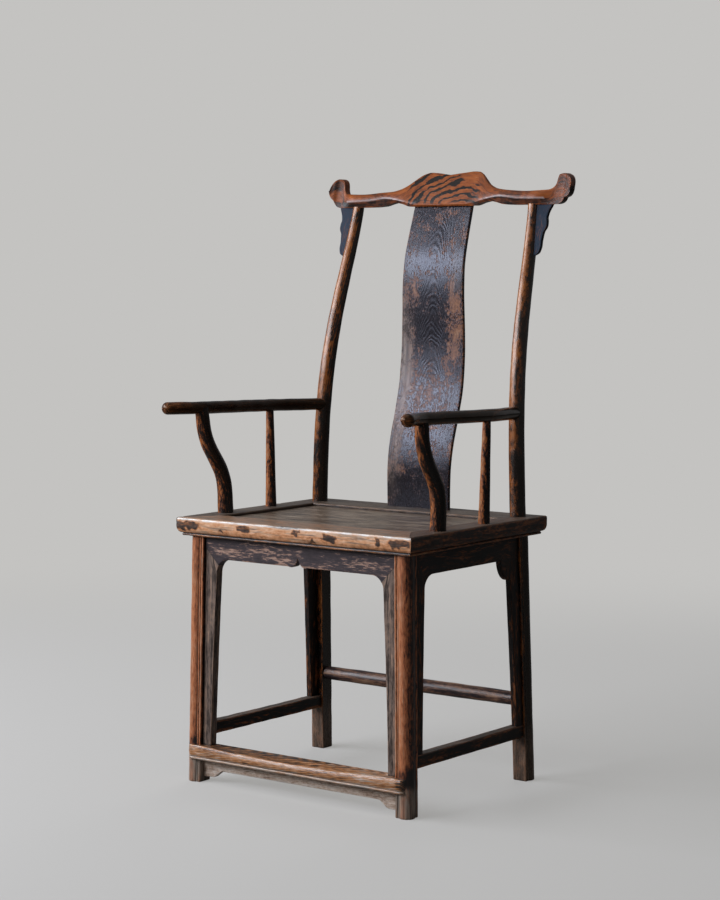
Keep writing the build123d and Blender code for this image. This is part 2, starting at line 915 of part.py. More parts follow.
with BuildPart() as back_splat:
    with BuildSketch(Plane.YZ.offset(-splat_width / 2)):
        with BuildLine():
            face = Spline(*splat_line(0), tangents=splat_tangents)
            Line(face @ 0, face @ 0 + (splat_thick, 0))
            back = Spline(*splat_line(splat_thick), tangents=splat_tangents)
            Line(face @ 1, back @ 1)
        make_face()
    extrude(amount=splat_width)
    with BuildSketch(Plane.XZ.offset(-seat_rear - back_lean)):
        with BuildLine():
            edge = Spline(
                (splat_foot_width / 2, seat_height),
                (splat_width / 2, seat_height + back_rise * 0.38),
                (splat_top_width / 2, crest_bottom),
            )
            Line(edge @ 0, (0, seat_height))
            Line((0, seat_height), (0, crest_bottom))
            Line((0, crest_bottom), edge @ 1)
        make_face()
        mirror(about=Plane.YZ)
    extrude(amount=seat_depth, mode=Mode.INTERSECT)
    add(splat_tongues(0))
write(back_splat, "back_splat")


# Crest rail
def hump_rise(x):
    """Extra height of the crest at x: a steep shoulder, a slower foot and a dip between the peaks."""
    steep = 0.55 / (1 + exp((abs(x) - hump_shoulder) / 5))
    slow = 0.45 / (1 + exp((abs(x) - hump_foot) / 14))
    dip = hump_dip * cos(pi * x / (2 * hump_half)) ** 2 if abs(x) < hump_half else 0
    return (hump_height - crest_height) * (steep + slow) - dip


def crest_underside(x):
    """Arch of the underside on each side of the splat."""
    off = (abs(x) - crest_arch_x) / crest_arch_half
    arch = crest_arch * cos(pi * off / 2) ** 2 if abs(off) < 1 else 0
    return crest_bottom + fit + arch


def crest_section(x):
    """Section of the crest across X: underside, creased face, top and hollow back."""
    rise = hump_rise(x)
    low = crest_underside(x)
    top = crest_bottom + crest_height + rise
    face = crest_y - crest_depth / 2
    back = crest_y + crest_depth / 2
    lean = hump_lean * rise
    return [
        (face + crest_turn, low),
        (face, crest_bottom + crest_crease),
        (face + crest_set + lean, top - 1.5),
        (face + crest_set + lean + crest_top_thick, top),
        (back + lean * 0.35, crest_bottom + (crest_height + rise) * 0.6),
        (back - crest_turn, low),
    ]


knob_lean = 0.285
knob_plane = Plane(
    origin=(0, crest_y - knob_thick / 2 + knob_set, crest_bottom),
    x_dir=(1, 0, 0),
    z_dir=(0, -1, knob_lean),
)

with BuildPart() as crest_rail:
    for station in range(crest_stations + 1):
        x = crest_end_x * (2 * station / crest_stations - 1)
        with BuildSketch(Plane.YZ.offset(x)):
            with BuildLine():
                Polyline(*crest_section(x), close=True)
            make_face()
    loft()
    with BuildSketch(knob_plane):
        with BuildLine():
            root = crest_end_x - 4
            foot = (knob_center_x - 0.4 * knob_radius, 0)
            notch = (knob_center_x + 0.38 * knob_radius, 0.2 * knob_height)
            tip = (knob_center_x - 0.55 * knob_radius, 0.96 * knob_height)
            Line((root, 0), foot)
            Spline(foot, (knob_center_x, 0.03 * knob_height), notch, tangents=((1, 0), (0.1, 1)))
            Spline(
                notch,
                (knob_center_x + 0.8 * knob_radius, 0.33 * knob_height),
                (knob_center_x + knob_radius, 0.6 * knob_height),
                (knob_center_x + 0.75 * knob_radius, 0.88 * knob_height),
                (knob_center_x, knob_height),
                tip,
                tangents=((1, 0.2), (-0.8, -0.6)),
            )
            Spline(
                tip,
                (knob_center_x - 0.55 * knob_radius, 0.78 * knob_height),
                (knob_center_x - 0.75 * knob_radius, 0.62 * knob_height),
                (root, crest_height),
                tangents=((0.3, -1), (-1, -0.15)),
            )
            Line((root, crest_height), (root, 0))
        make_face()
        mirror(about=Plane.YZ)
    extrude(amount=knob_thick, dir=(0, 1, 0))
    add(post_tenon(fit), mode=Mode.SUBTRACT)
    mirror(post_tenon(fit), about=Plane.YZ, mode=Mode.SUBTRACT)
    add(splat_tongues(fit), mode=Mode.SUBTRACT)
    add(spandrel_plate(fit), mode=Mode.SUBTRACT)
    mirror(spandrel_plate(fit), about=Plane.YZ, mode=Mode.SUBTRACT)
write(crest_rail, "crest_rail")


# Footrest and the apron under it
wear_plane = Plane(
    origin=(0, footrest_face, footrest_top - footrest_wear),
    x_dir=(-1, 0, 0),
    z_dir=(0, 1, footrest_wear_slope),
)

with BuildPart() as footrest:
    with BuildSketch(Plane.YZ.offset(-footrest_half)):
        bead_top = footrest_bottom + footrest_bead
        bead_y = footrest_face + footrest_bead / 2
        nose_y = footrest_face + footrest_nose
        with BuildLine():
            Polyline(
                (nose_y, footrest_top),
                (footrest_rear, footrest_top),
                (footrest_rear, footrest_bottom),
                (bead_y, footrest_bottom),
            )
            bead_mid = (footrest_face, bead_top - footrest_bead / 2)
            nose_mid = (footrest_face, (bead_top + footrest_top) / 2)
            ThreePointArc((bead_y, footrest_bottom), bead_mid, (bead_y, bead_top))
            Line((bead_y, bead_top), (nose_y, bead_top + footrest_quirk))
            ThreePointArc((nose_y, bead_top + footrest_quirk), nose_mid, (nose_y, footrest_top))
        make_face()
    extrude(amount=2 * footrest_half)
    with BuildSketch(Plane.XY.offset(footrest_bottom)) as plan:
        with Locations((0, (footrest_face + footrest_y) / 2)):
            Rectangle(2 * footrest_half, footrest_y - footrest_face)
        fillet(plan.vertices().group_by(Axis.Y)[0], footrest_corner)
        with Locations((0, (footrest_face + footrest_rear) / 2)):
            Rectangle(2 * leg_x(footrest_mid), footrest_rear - footrest_face)
    extrude(amount=footrest_top - footrest_bottom, mode=Mode.INTERSECT)
    with BuildSketch(wear_plane):
        with Locations((0, footrest_wear_radius)):
            Circle(footrest_wear_radius)
    extrude(amount=footrest_front + footrest_back, both=True, mode=Mode.SUBTRACT)
    add(leg_block, mode=Mode.SUBTRACT)
    mirror(leg_block, about=Plane.YZ, mode=Mode.SUBTRACT)
    add(footrest_tenons(0))
    add(footrest_groove, mode=Mode.SUBTRACT)
write(footrest, "footrest")
write(tongued(footrest_apron_plane, footrest_apron_thick, footrest_apron_region, None), "footrest_apron")


# Seat: a moulded slab, cut into four mitred rails round a floating panel
tongue_bottom = panel_bottom + (panel_thick - tongue_thick) / 2
edge_foot = seat_bottom + bead_height
edge_low = seat_height - edge_round - edge_flat


def seat_rectangle(inset):
    with BuildSketch() as shape:
        with Locations((0, seat_center_y)):
            Rectangle(seat_width - 2 * inset, seat_depth - 2 * inset)
    return shape.sketch_local


def opening_rectangle(grow):
    with BuildSketch() as shape:
        with Locations((0, (inner_front + inner_rear) / 2)):
            Rectangle(2 * (inner_right + grow), inner_rear - inner_front + 2 * grow)
    return shape.sketch_local


with BuildPart() as seat_slab:
    with BuildSketch(Plane.XY.offset(edge_low)):
        add(seat_rectangle(0))
    extrude(amount=seat_height - edge_low)
    fillet(seat_slab.faces().sort_by(Axis.Z)[-1].edges(), edge_round)
    with BuildSketch(Plane.XY.offset(edge_low)):
        add(seat_rectangle(0))
    drop = edge_low - edge_foot
    extrude(amount=-drop, taper=degrees(atan2(edge_taper, drop)))
    with BuildPart(mode=Mode.PRIVATE) as bead:
        with BuildSketch(Plane.XY.offset(seat_bottom)):
            add(seat_rectangle(bead_inset))
        extrude(amount=bead_height)
        levels = bead.edges().group_by(Axis.Z)
        fillet(levels[0] + levels[-1], bead_height / 2 - 0.1)
    add(bead.part)
    with BuildSketch(Plane.XY.offset(seat_bottom)):
        add(opening_rectangle(0))
    extrude(amount=seat_thick, mode=Mode.SUBTRACT)
    with BuildSketch(Plane.XY.offset(tongue_bottom - fit)):
        add(opening_rectangle(tongue_depth + fit))
    extrude(amount=tongue_thick + 2 * fit, mode=Mode.SUBTRACT)


def mitre_wedge(corners):
    """Prism between two mitres; corners are the outer and inner corner at each end."""
    points = []
    for (outer_x, outer_y), (inner_x, inner_y) in corners:
        reach = (inner_x + 1.1 * (outer_x - inner_x), inner_y + 1.1 * (outer_y - inner_y))
        points.append((reach, (inner_x, inner_y)))
    (reach_a, inner_a), (reach_b, inner_b) = points
    with BuildPart() as wedge:
        with BuildSketch(Plane.XY.offset(seat_bottom)):
            add(polygon([reach_a, inner_a, inner_b, reach_b]))
        extrude(amount=seat_thick)
    return wedge.part


front_corner = ((seat_right, seat_front + mitre_offset), (inner_right, inner_front))
rear_corner = ((seat_right, seat_rear - mitre_offset), (inner_right, inner_rear))
front_corner_left = tuple((-x, y) for x, y in front_corner)
rear_corner_left = tuple((-x, y) for x, y in rear_corner)


def frame_tenons(y, extra):
    """Blind tenons of a front or rear rail, through the mitres into both side rails."""
    with BuildPart() as tenons:
        with Locations((0, y, seat_bottom + frame_tenon_lift + frame_tenon_thick / 2)):
            Box(
                2 * (inner_right + frame_tenon_reach + extra),
                frame_tenon_width + 2 * extra,
                frame_tenon_thick + 2 * extra,
            )
    return tenons.part


front_tenon_y = inner_front - frame_tenon_inset - frame_tenon_width / 2
rear_tenon_y = inner_rear + frame_tenon_inset + frame_tenon_width / 2
batten_top = panel_bottom
batten_bottom = batten_top - batten_thick
batten_middle = (batten_spacing / 2, (inner_front + inner_rear) / 2, (batten_top + batten_bottom) / 2)


def batten_tenons(extra):
    """Tenons of the right batten in the front and rear rails."""
    with BuildPart() as tenons:
        with Locations(batten_middle):
            Box(
                batten_tenon_width + 2 * extra,
                inner_rear - inner_front + 2 * (batten_tenon + extra),
                batten_tenon_thick + 2 * extra,
            )
    return tenons.part


def batten_dovetail(extra):
    """Dovetailed ridge on the right batten, which slides into the panel."""
    foot = dovetail_width / 2 - dovetail_flare + extra
    head = dovetail_width / 2 + extra
    rise = dovetail_height + extra
    with BuildPart() as ridge:
        with BuildSketch(Plane.XZ.offset(-inner_rear)):
            with Locations((batten_spacing / 2, batten_top)):
                add(polygon([(-foot, 0), (-head, rise), (head, rise), (foot, 0)]))
        extrude(amount=inner_rear - inner_front)
    return ridge.part


# Everything that stands or hangs in the right half of the seat frame
with BuildPart() as seat_sockets:
    add(leg_tenons(fit))
    add(post_hole())
    add(round_tenon(gooseneck_foot, gooseneck_tenon_radius, -seat_tenon_length, fit))
    add(round_tenon(side_post_foot, side_tenon_radius, -seat_tenon_length, fit))
    add(batten_tenons(fit))

with BuildPart() as seat_frame:
    add(seat_slab.part)
    add(seat_sockets.part, mode=Mode.SUBTRACT)
    mirror(seat_sockets.part, about=Plane.YZ, mode=Mode.SUBTRACT)
    add(splat_tongues(fit), mode=Mode.SUBTRACT)
    add(front_groove, mode=Mode.SUBTRACT)
    mirror(front_groove, about=Plane.YZ, mode=Mode.SUBTRACT)
    add(side_groove, mode=Mode.SUBTRACT)
    mirror(side_groove, about=Plane.YZ, mode=Mode.SUBTRACT)
    add(rear_groove, mode=Mode.SUBTRACT)

front_wedge = mitre_wedge([front_corner, front_corner_left])
rear_wedge = mitre_wedge([rear_corner, rear_corner_left])
side_wedge = mitre_wedge([front_corner, rear_corner])

with BuildPart() as seat_front_rail:
    add(seat_frame.part)
    add(front_wedge, mode=Mode.INTERSECT)
    with BuildPart(mode=Mode.PRIVATE) as front_tenons:
        add(frame_tenons(front_tenon_y, 0))
        add(front_wedge, mode=Mode.SUBTRACT)
    add(front_tenons.part)
write(seat_front_rail, "seat_front_rail")

with BuildPart() as seat_rear_rail:
    add(seat_frame.part)
    add(rear_wedge, mode=Mode.INTERSECT)
    with BuildPart(mode=Mode.PRIVATE) as rear_rail_tenons:
        add(frame_tenons(rear_tenon_y, 0))
        add(rear_wedge, mode=Mode.SUBTRACT)
    add(rear_rail_tenons.part)
write(seat_rear_rail, "seat_rear_rail")

with BuildPart() as seat_side_rail:
    add(seat_frame.part)
    add(side_wedge, mode=Mode.INTERSECT)
    add(frame_tenons(front_tenon_y, fit), mode=Mode.SUBTRACT)
    add(frame_tenons(rear_tenon_y, fit), mode=Mode.SUBTRACT)
write_pair(seat_side_rail, "seat_side_rail")

with BuildPart() as seat_panel:
    with BuildSketch(Plane.XY.offset(panel_bottom)):
        add(opening_rectangle(-fit))
    extrude(amount=panel_thick)
    with BuildSketch(Plane.XY.offset(tongue_bottom)):
        add(opening_rectangle(tongue_depth))
    extrude(amount=tongue_thick)
    add(batten_dovetail(fit), mode=Mode.SUBTRACT)
    mirror(batten_dovetail(fit), about=Plane.YZ, mode=Mode.SUBTRACT)
write(seat_panel, "seat_panel")

with BuildPart() as seat_batten:
    with Locations(batten_middle):
        Box(batten_width, inner_rear - inner_front, batten_thick)
    add(batten_dovetail(0))
    add(batten_tenons(0))
write_pair(seat_batten, "seat_batten")
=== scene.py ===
import math
import bpy
import numpy as np
from mathutils import Matrix, Vector


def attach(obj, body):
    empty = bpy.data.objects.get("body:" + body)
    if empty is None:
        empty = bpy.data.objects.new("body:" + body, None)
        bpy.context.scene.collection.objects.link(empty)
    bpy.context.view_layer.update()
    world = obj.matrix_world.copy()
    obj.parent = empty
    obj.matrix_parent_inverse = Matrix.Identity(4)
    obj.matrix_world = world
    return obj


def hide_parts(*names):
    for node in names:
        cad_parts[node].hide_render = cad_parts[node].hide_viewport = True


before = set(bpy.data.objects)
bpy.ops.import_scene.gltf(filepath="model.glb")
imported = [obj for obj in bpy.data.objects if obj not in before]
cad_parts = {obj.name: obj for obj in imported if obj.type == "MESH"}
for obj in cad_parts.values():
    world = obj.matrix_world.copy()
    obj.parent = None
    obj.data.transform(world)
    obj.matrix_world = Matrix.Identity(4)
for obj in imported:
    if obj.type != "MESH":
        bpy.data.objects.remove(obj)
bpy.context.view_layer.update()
print("frame loaded:", len(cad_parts), "CAD nodes")

# Lengths are in millimetres until a surface is written to its mesh. Pieces are shaped on the
# right; X grows to the right and the front is towards -Y.
chair = {
    "seatRight": 283.5, "seatFront": -252.6, "seatRear": 193.4,
    "seatTop": 520.0, "seatBottom": 484.0, "crestBottom": 1124.0,
    "innerRight": 229.5, "innerFront": -177.6, "innerRear": 103.4,
    "sideSplay": 8.0, "frontSplay": 8.4, "rearSplay": 13.2,
    "legInset": 34.1, "frontSetback": 31.0, "rearSetback": 42.5, "blockShift": 3.5,
}


def splayShare(z):
    return (chair["seatBottom"] - z) / chair["seatBottom"]


def legX(z):
    return chair["seatRight"] - chair["legInset"] + chair["sideSplay"] * splayShare(z)


def frontLegY(z):
    return chair["seatFront"] + chair["frontSetback"] - chair["frontSplay"] * splayShare(z)


def rearLegY(z):
    return chair["seatRear"] - chair["rearSetback"] + chair["rearSplay"] * splayShare(z)


def curve(x, knots, values):
    # Monotone cubic through the knots: the inner slopes are harmonic means of their neighbours.
    knots, values = np.asarray(knots, float), np.asarray(values, float)
    gaps = np.diff(knots)
    slopes = np.diff(values) / gaps
    same = slopes[1:] * slopes[:-1] > 0
    total = np.where(same, slopes[1:] + slopes[:-1], 1)
    inner = np.where(same, 2 * slopes[1:] * slopes[:-1] / total, 0)
    ends = np.concatenate([slopes[:1], inner, slopes[-1:]])
    x = np.clip(x, knots[0], knots[-1])
    i = np.clip(np.searchsorted(knots, x, side="right") - 1, 0, len(gaps) - 1)
    t = (x - knots[i]) / gaps[i]
    a = 2 * t**3 - 3 * t**2 + 1
    b = t**3 - 2 * t**2 + t
    c = t**3 - t**2
    return a * values[i] + b * gaps[i] * ends[i] + (1 - a) * values[i + 1] + c * gaps[i] * ends[i + 1]


def between(values, start, stop):
    # Straight rise from 0 at start to 1 at stop, level past both; stop may be the lower one.
    return np.clip((values - start) / (stop - start), 0, 1)


def smoothed(values, rounds):
    # Each inner value becomes a quarter, a half and a quarter of its neighbours and itself.
    for _ in range(rounds):
        values[1:-1] = (values[:-2] + 2 * values[1:-1] + values[2:]) / 4
    return values


def waviness(points, size, seed, waves=7):
    # Sum of plane waves in random directions, each about as long as size; between -1 and 1.
    rng = np.random.default_rng(seed)
    total = np.zeros(points.shape[:-1])
    for _ in range(waves):
        way = rng.normal(size=3)
        way *= rng.uniform(0.6, 1.5) * 2 * math.pi / size / np.linalg.norm(way)
        total += np.sin(points @ way + rng.uniform(0, 2 * math.pi))
    return total / math.sqrt(waves) / 1.5


def line(*parts):
    # Points of a line from two or three arrays or numbers, one for each axis.
    return np.stack(np.broadcast_arrays(*parts), axis=1)


def grid(x, y, z):
    # Points of a skin from three arrays or numbers, each spread over the others' rows and columns.
    return np.stack(np.broadcast_arrays(x, y, z), axis=2)


def even(points, count, closed=False):
    # Line, or closed outline, cut again into equal steps.
    if closed:
        points = np.vstack([points, points[:1]])
    steps = np.concatenate([[0], np.cumsum(np.linalg.norm(np.diff(points, axis=0), axis=1))])
    places = np.linspace(0, steps[-1], count, endpoint=not closed)
    return line(*(np.interp(places, steps, points[:, k]) for k in range(2)))


def arc(cx, cy, radius, start, end, count=14):
    angles = np.radians(np.linspace(start, end, count))
    return line(cx + radius * np.cos(angles), cy + radius * np.sin(angles))


def roundedBox(width, height, radius, count):
    # Outline of a box with rounded corners, centred on the origin.
    w, h = width / 2 - radius, height / 2 - radius
    corners = ((w, h, 0), (-w, h, 90), (-w, -h, 180), (w, -h, 270))
    return even(np.vstack([arc(x, y, radius, turn, turn + 90) for x, y, turn in corners]), count, True)


def outwards(points):
    # Unit normals of the skin, from the differences of neighbouring rows and columns.
    along = np.gradient(points, axis=0)
    across = np.roll(points, -1, axis=1) - np.roll(points, 1, axis=1)
    normal = np.cross(along, across)
    normal /= np.linalg.norm(normal, axis=2, keepdims=True) + 1e-9
    away = points - points.mean(axis=1, keepdims=True)
    return normal * np.sign((normal * away).sum())


def turning(points, span):
    # Bend of the outline over the span in mm: positive on an arris, negative in a groove.
    girth = np.linalg.norm(np.roll(points, -1, axis=1) - points, axis=2).sum(axis=1).max()
    hop = max(1, int(round(span * points.shape[1] / girth)))
    ahead, behind = np.roll(points, -hop, axis=1), np.roll(points, hop, axis=1)
    dip = (((ahead + behind) / 2 - points) * outwards(points)).sum(axis=2)
    return np.clip(-4 * dip / (np.linalg.norm(ahead - behind, axis=2) + 1e-6), -1, 1)


def surface(name, points, wear=0.5, edgeWear=0.3, facing=0.0, edgeSpan=2.5,
            seams=0.0, gapShadow=0.0, board=None, **painted):
    # Skin over a grid: rows follow the piece, each row closes round it, and fans close both ends.
    # The grain map holds metres round the piece and along it, or board's two arrays in mm. The wear
    # attribute runs from whole lacquer at 0 to bare wood at 1. It grows on arrises, and through facing it
    # also
    # carries painted light and shade: paler on the side turned to the window lamp, front left, and darker
    # away from it. The second attribute darkens the colour: at the two ends by seams, for dark joints; in
    # grooves, as painted shade; and nowhere less than the value given for a painted shadow.
    rows, cols = points.shape[:2]
    middle = points.mean(axis=1)
    ends = np.stack([middle[0], middle[-1]])
    verts = np.vstack([points.reshape(-1, 3), ends]) / 1000

    wrapped = np.concatenate([points, points[:, :1]], axis=1)
    stepsRound = np.linalg.norm(np.diff(wrapped, axis=1), axis=2)
    across = np.concatenate([np.zeros((rows, 1)), np.cumsum(stepsRound, axis=1)], axis=1)
    across -= across[:, -1:] / 2
    steps = np.linalg.norm(np.diff(points, axis=0), axis=2).mean(axis=1)
    along = np.broadcast_to(np.concatenate([[0], np.cumsum(steps)])[:, None], across.shape)
    if board:
        across, along = (np.concatenate([part, part[:, :1]], axis=1) for part in board)
    grain = np.stack([across, along], axis=2) / 1000

    i, j = np.meshgrid(np.arange(rows - 1), np.arange(cols), indexing="ij")
    k = (j + 1) % cols
    quads = np.stack([i * cols + j, i * cols + k, (i + 1) * cols + k, (i + 1) * cols + j], axis=2)
    quadUv = np.stack([grain[i, j], grain[i, j + 1], grain[i + 1, j + 1], grain[i + 1, j]], axis=2)
    quads, quadUv = quads.reshape(-1, 4), quadUv.reshape(-1, 2)
    ring, following = np.arange(cols), (np.arange(cols) + 1) % cols
    last = (rows - 1) * cols
    near = np.stack([np.full(cols, rows * cols), following, ring], axis=1)
    far = np.stack([np.full(cols, rows * cols + 1), last + ring, last + following], axis=1)
    reach = np.linalg.norm(points[[0, -1]] - ends[:, None], axis=2).mean(axis=1) / 1000
    tips = [np.broadcast_to(grain[0].mean(axis=0) - [0, reach[0]], (cols, 2)),
            np.broadcast_to(grain[-1].mean(axis=0) + [0, reach[1]], (cols, 2))]
    fanUv = np.vstack([np.stack([tips[0], grain[0, 1:], grain[0, :-1]], axis=1),
                       np.stack([tips[1], grain[-1, :-1], grain[-1, 1:]], axis=1)]).reshape(-1, 2)
    fans = np.vstack([near, far])
    uvs = [quadUv, fanUv]
    volume = sum((verts[f[:, 0]] * np.cross(verts[f[:, 1]], verts[f[:, 2]])).sum()
                 for f in (quads[:, :3], quads[:, [0, 2, 3]], fans))
    if volume < 0:
        quads, fans = quads[:, ::-1], fans[:, ::-1]
        uvs = [uv.reshape(-1, n, 2)[:, ::-1].reshape(-1, 2) for uv, n in zip(uvs, (4, 3))]

    mesh = bpy.data.meshes.new(name)
    sizes = np.concatenate([np.full(len(quads), 4), np.full(len(fans), 3)])
    starts = np.concatenate([[0], np.cumsum(sizes)[:-1]])
    corners = np.concatenate([quads.ravel(), fans.ravel()])
    mesh.vertices.add(len(verts))
    mesh.vertices.foreach_set("co", verts.ravel())
    mesh.loops.add(len(corners))
    mesh.loops.foreach_set("vertex_index", corners.astype(np.int32))
    mesh.polygons.add(len(sizes))
    mesh.polygons.foreach_set("loop_start", starts.astype(np.int32))
    mesh.polygons.foreach_set("loop_total", sizes.astype(np.int32))
    mesh.update(calc_edges=True)
    mesh.validate()
    mesh.uv_layers.new(name="grain").data.foreach_set("uv", np.vstack(uvs).ravel())
    mesh.polygons.foreach_set("use_smooth", np.ones(len(sizes), dtype=bool))

    bend = turning(points, edgeSpan)
    # Painted light and shade: through facing, the side turned to the window lamp, front left, is painted
    # paler and the far side darker
    towardsLamp = outwards(points) @ np.array([-0.72, -0.62, 0.3])
    level = wear + edgeWear * np.clip(bend, 0, 1) + facing * towardsLamp
    # Painted shade in grooves, a painted shadow where one is given, and dark joints at the seams
    dirtAndShade = np.maximum(np.clip(-bend * 1.6, 0, 1), gapShadow)
    dirtAndShade[[0, -1]] = np.maximum(dirtAndShade[[0, -1]], seams)
    for label, values in {"wear": level, "dirtAndShade": dirtAndShade, **painted}.items():
        tipValues = [values[0].mean(keepdims=True), values[-1].mean(keepdims=True)]
        flat = np.concatenate([values.ravel(), *tipValues])
        mesh.attributes.new(label, "FLOAT", "POINT").data.foreach_set("value", flat)
    mesh.set_sharp_from_angle(angle=math.radians(50))
    obj = bpy.data.objects.new(name, mesh)
    bpy.context.collection.objects.link(obj)
    return obj


def weathered(points, amount, size, seed):
    # Old hand work: the skin swells and sinks a little, away from the row's middle.
    middle = points.mean(axis=1, keepdims=True)
    away = points - middle
    away /= np.linalg.norm(away, axis=2, keepdims=True) + 1e-6
    return points + away * (waviness(points, size, seed) * amount)[..., None]


def blots(points, spots, ragged=0.0, crisp=2):
    # Soft-edged boxes that raise or lower the wear: centre, half sizes and amount of each.
    points = points + ragged * np.stack([waviness(points, 15, 900 + k) for k in range(3)], axis=2)
    total = np.zeros(points.shape[:2])
    for centre, half, amount in spots:
        away = (((points - np.array(centre)) / np.array(half)) ** 4).sum(axis=2)
        total += amount / (1 + away**crisp)
    return total


def settle(obj, finish, slot, *nodes):
    obj.data.materials.append(finish)
    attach(obj, "root")
    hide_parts(*nodes)


def onHand(side, points):
    # Points of a piece on the named side: as shaped, or mirrored for the left.
    return points if side == "right" else points * np.array([-1, 1, 1])


def linear(code):
    channels = [int(code[k:k + 2], 16) / 255 for k in (1, 3, 5)]
    return [c / 12.92 if c <= 0.04045 else ((c + 0.055) / 1.055) ** 2.4 for c in channels] + [1]


def addNode(tree, kind, inputs, out=0, **settings):
    # Adds a node, sets it, fills or links its inputs, and gives back one of its outputs. The inputs
    # are a list in the order of the sockets, or a dictionary.
    made = tree.nodes.new("ShaderNode" + kind)
    for key, value in settings.items():
        setattr(made, key, value)
    for key, value in inputs.items() if isinstance(inputs, dict) else enumerate(inputs):
        if isinstance(value, bpy.types.NodeSocket):
            tree.links.new(value, made.inputs[key])
        else:
            made.inputs[key].default_value = value
    return made.outputs[out]


# Elm under old lacquer. The lacquer is near black and glossy, and where it thins the orange-brown
# wood glows through it before it shows bare, so wear goes through a row of colours, darkest first.
# Streaks are long pores, patches and flakes are worn places, and each has its size across and along
# the grain in mm and its pull on the wear. Grain lines finer than 2 mm are drawn 2 mm wide. Growth
# rings run with the grain, and drift bends them. Twos and fours are ranges: where a field begins and
# ends to show, and the values it then runs between.
lacqueredElm = {
    "streak": (2.2, 90, 0.5), "patch": (22, 80, 0.9), "flake": (5, 14, 0.55), "drift": (60, 160),
    "ring": (12, 60), "ringDrift": 3.0, "ringGain": 0.08, "ringRelief": 0.2,
    "streakDark": 0.35, "streakShows": (0.5, 0.68), "dirtAndShadeColour": "#0d0b0a",
    "filmColour": "#77695d", "filmStreaks": (0.35, 0.62, 1.3, 0.4), "filmPatches": (0.4, 0.58, 0.45, 1.0),
    "gloss": (0.32, 0.48), "glossWear": (0.42, 0.8), "glossSpread": 0.2, "shine": 0.35, "haze": "#ffffff",
    "coatEnds": (0.62, 0.5), "poreDepth": -0.9, "bumpHeight": 0.0005, "relief": 0.3,
    "figureGain": 0.0, "seed": 0.0,
}
# Detail and distortion of each noise
noises = {"streak": (3, 0.0), "patch": (7, 0.5), "flake": (6, 0.3), "drift": (2, 0.2)}
# Bands of the crest's figure, in metres: spacing, how far and how widely they bend, size of their gaps
zebra = {"centre": (0.052, 0.0, 1.116), "stretch": (0.6, 0.0, 1.0), "spacing": 0.0128, "bending": 3.6,
         "bendSize": 0.045, "breakSize": 0.026, "breaking": 4.5, "darkens": (2.35, 2.8)}


def zebraFigure(tree, level, look):
    # Dark bands of the crest: rings round a line below its right half, bent by a slow noise,
    # wide and ragged, and only where the figure attribute is painted.
    place = addNode(tree, "TexCoord", [], 3)
    moved = addNode(tree, "VectorMath", [place, zebra["centre"]], operation="SUBTRACT")
    flat = addNode(tree, "VectorMath", [moved, zebra["stretch"]], operation="MULTIPLY")
    away = addNode(tree, "VectorMath", [flat], 1, operation="LENGTH")
    bend, gaps = (addNode(tree, "TexNoise", {"Vector": flat, "Scale": 1 / size, "Detail": detail,
                                             "Roughness": rough})
                  for size, detail, rough in ((zebra["bendSize"], 3, 0.55), (zebra["breakSize"], 4, 0.6)))
    turns = addNode(tree, "Math", [away, 2 * math.pi / zebra["spacing"]], operation="MULTIPLY")
    turns = addNode(tree, "Math", [bend, zebra["bending"] * 2 * math.pi, turns], operation="MULTIPLY_ADD")
    bands = addNode(tree, "Math", [turns], operation="SINE")
    bands = addNode(tree, "Math", [gaps, zebra["breaking"], bands], operation="MULTIPLY_ADD")
    bands = addNode(tree, "MapRange", [bands, *zebra["darkens"]])
    mask = addNode(tree, "Attribute", [], 2, attribute_name="figure")
    bands = addNode(tree, "Math", [bands, mask], operation="MULTIPLY")
    return addNode(tree, "Math", [bands, -look["figureGain"], level], operation="MULTIPLY_ADD")


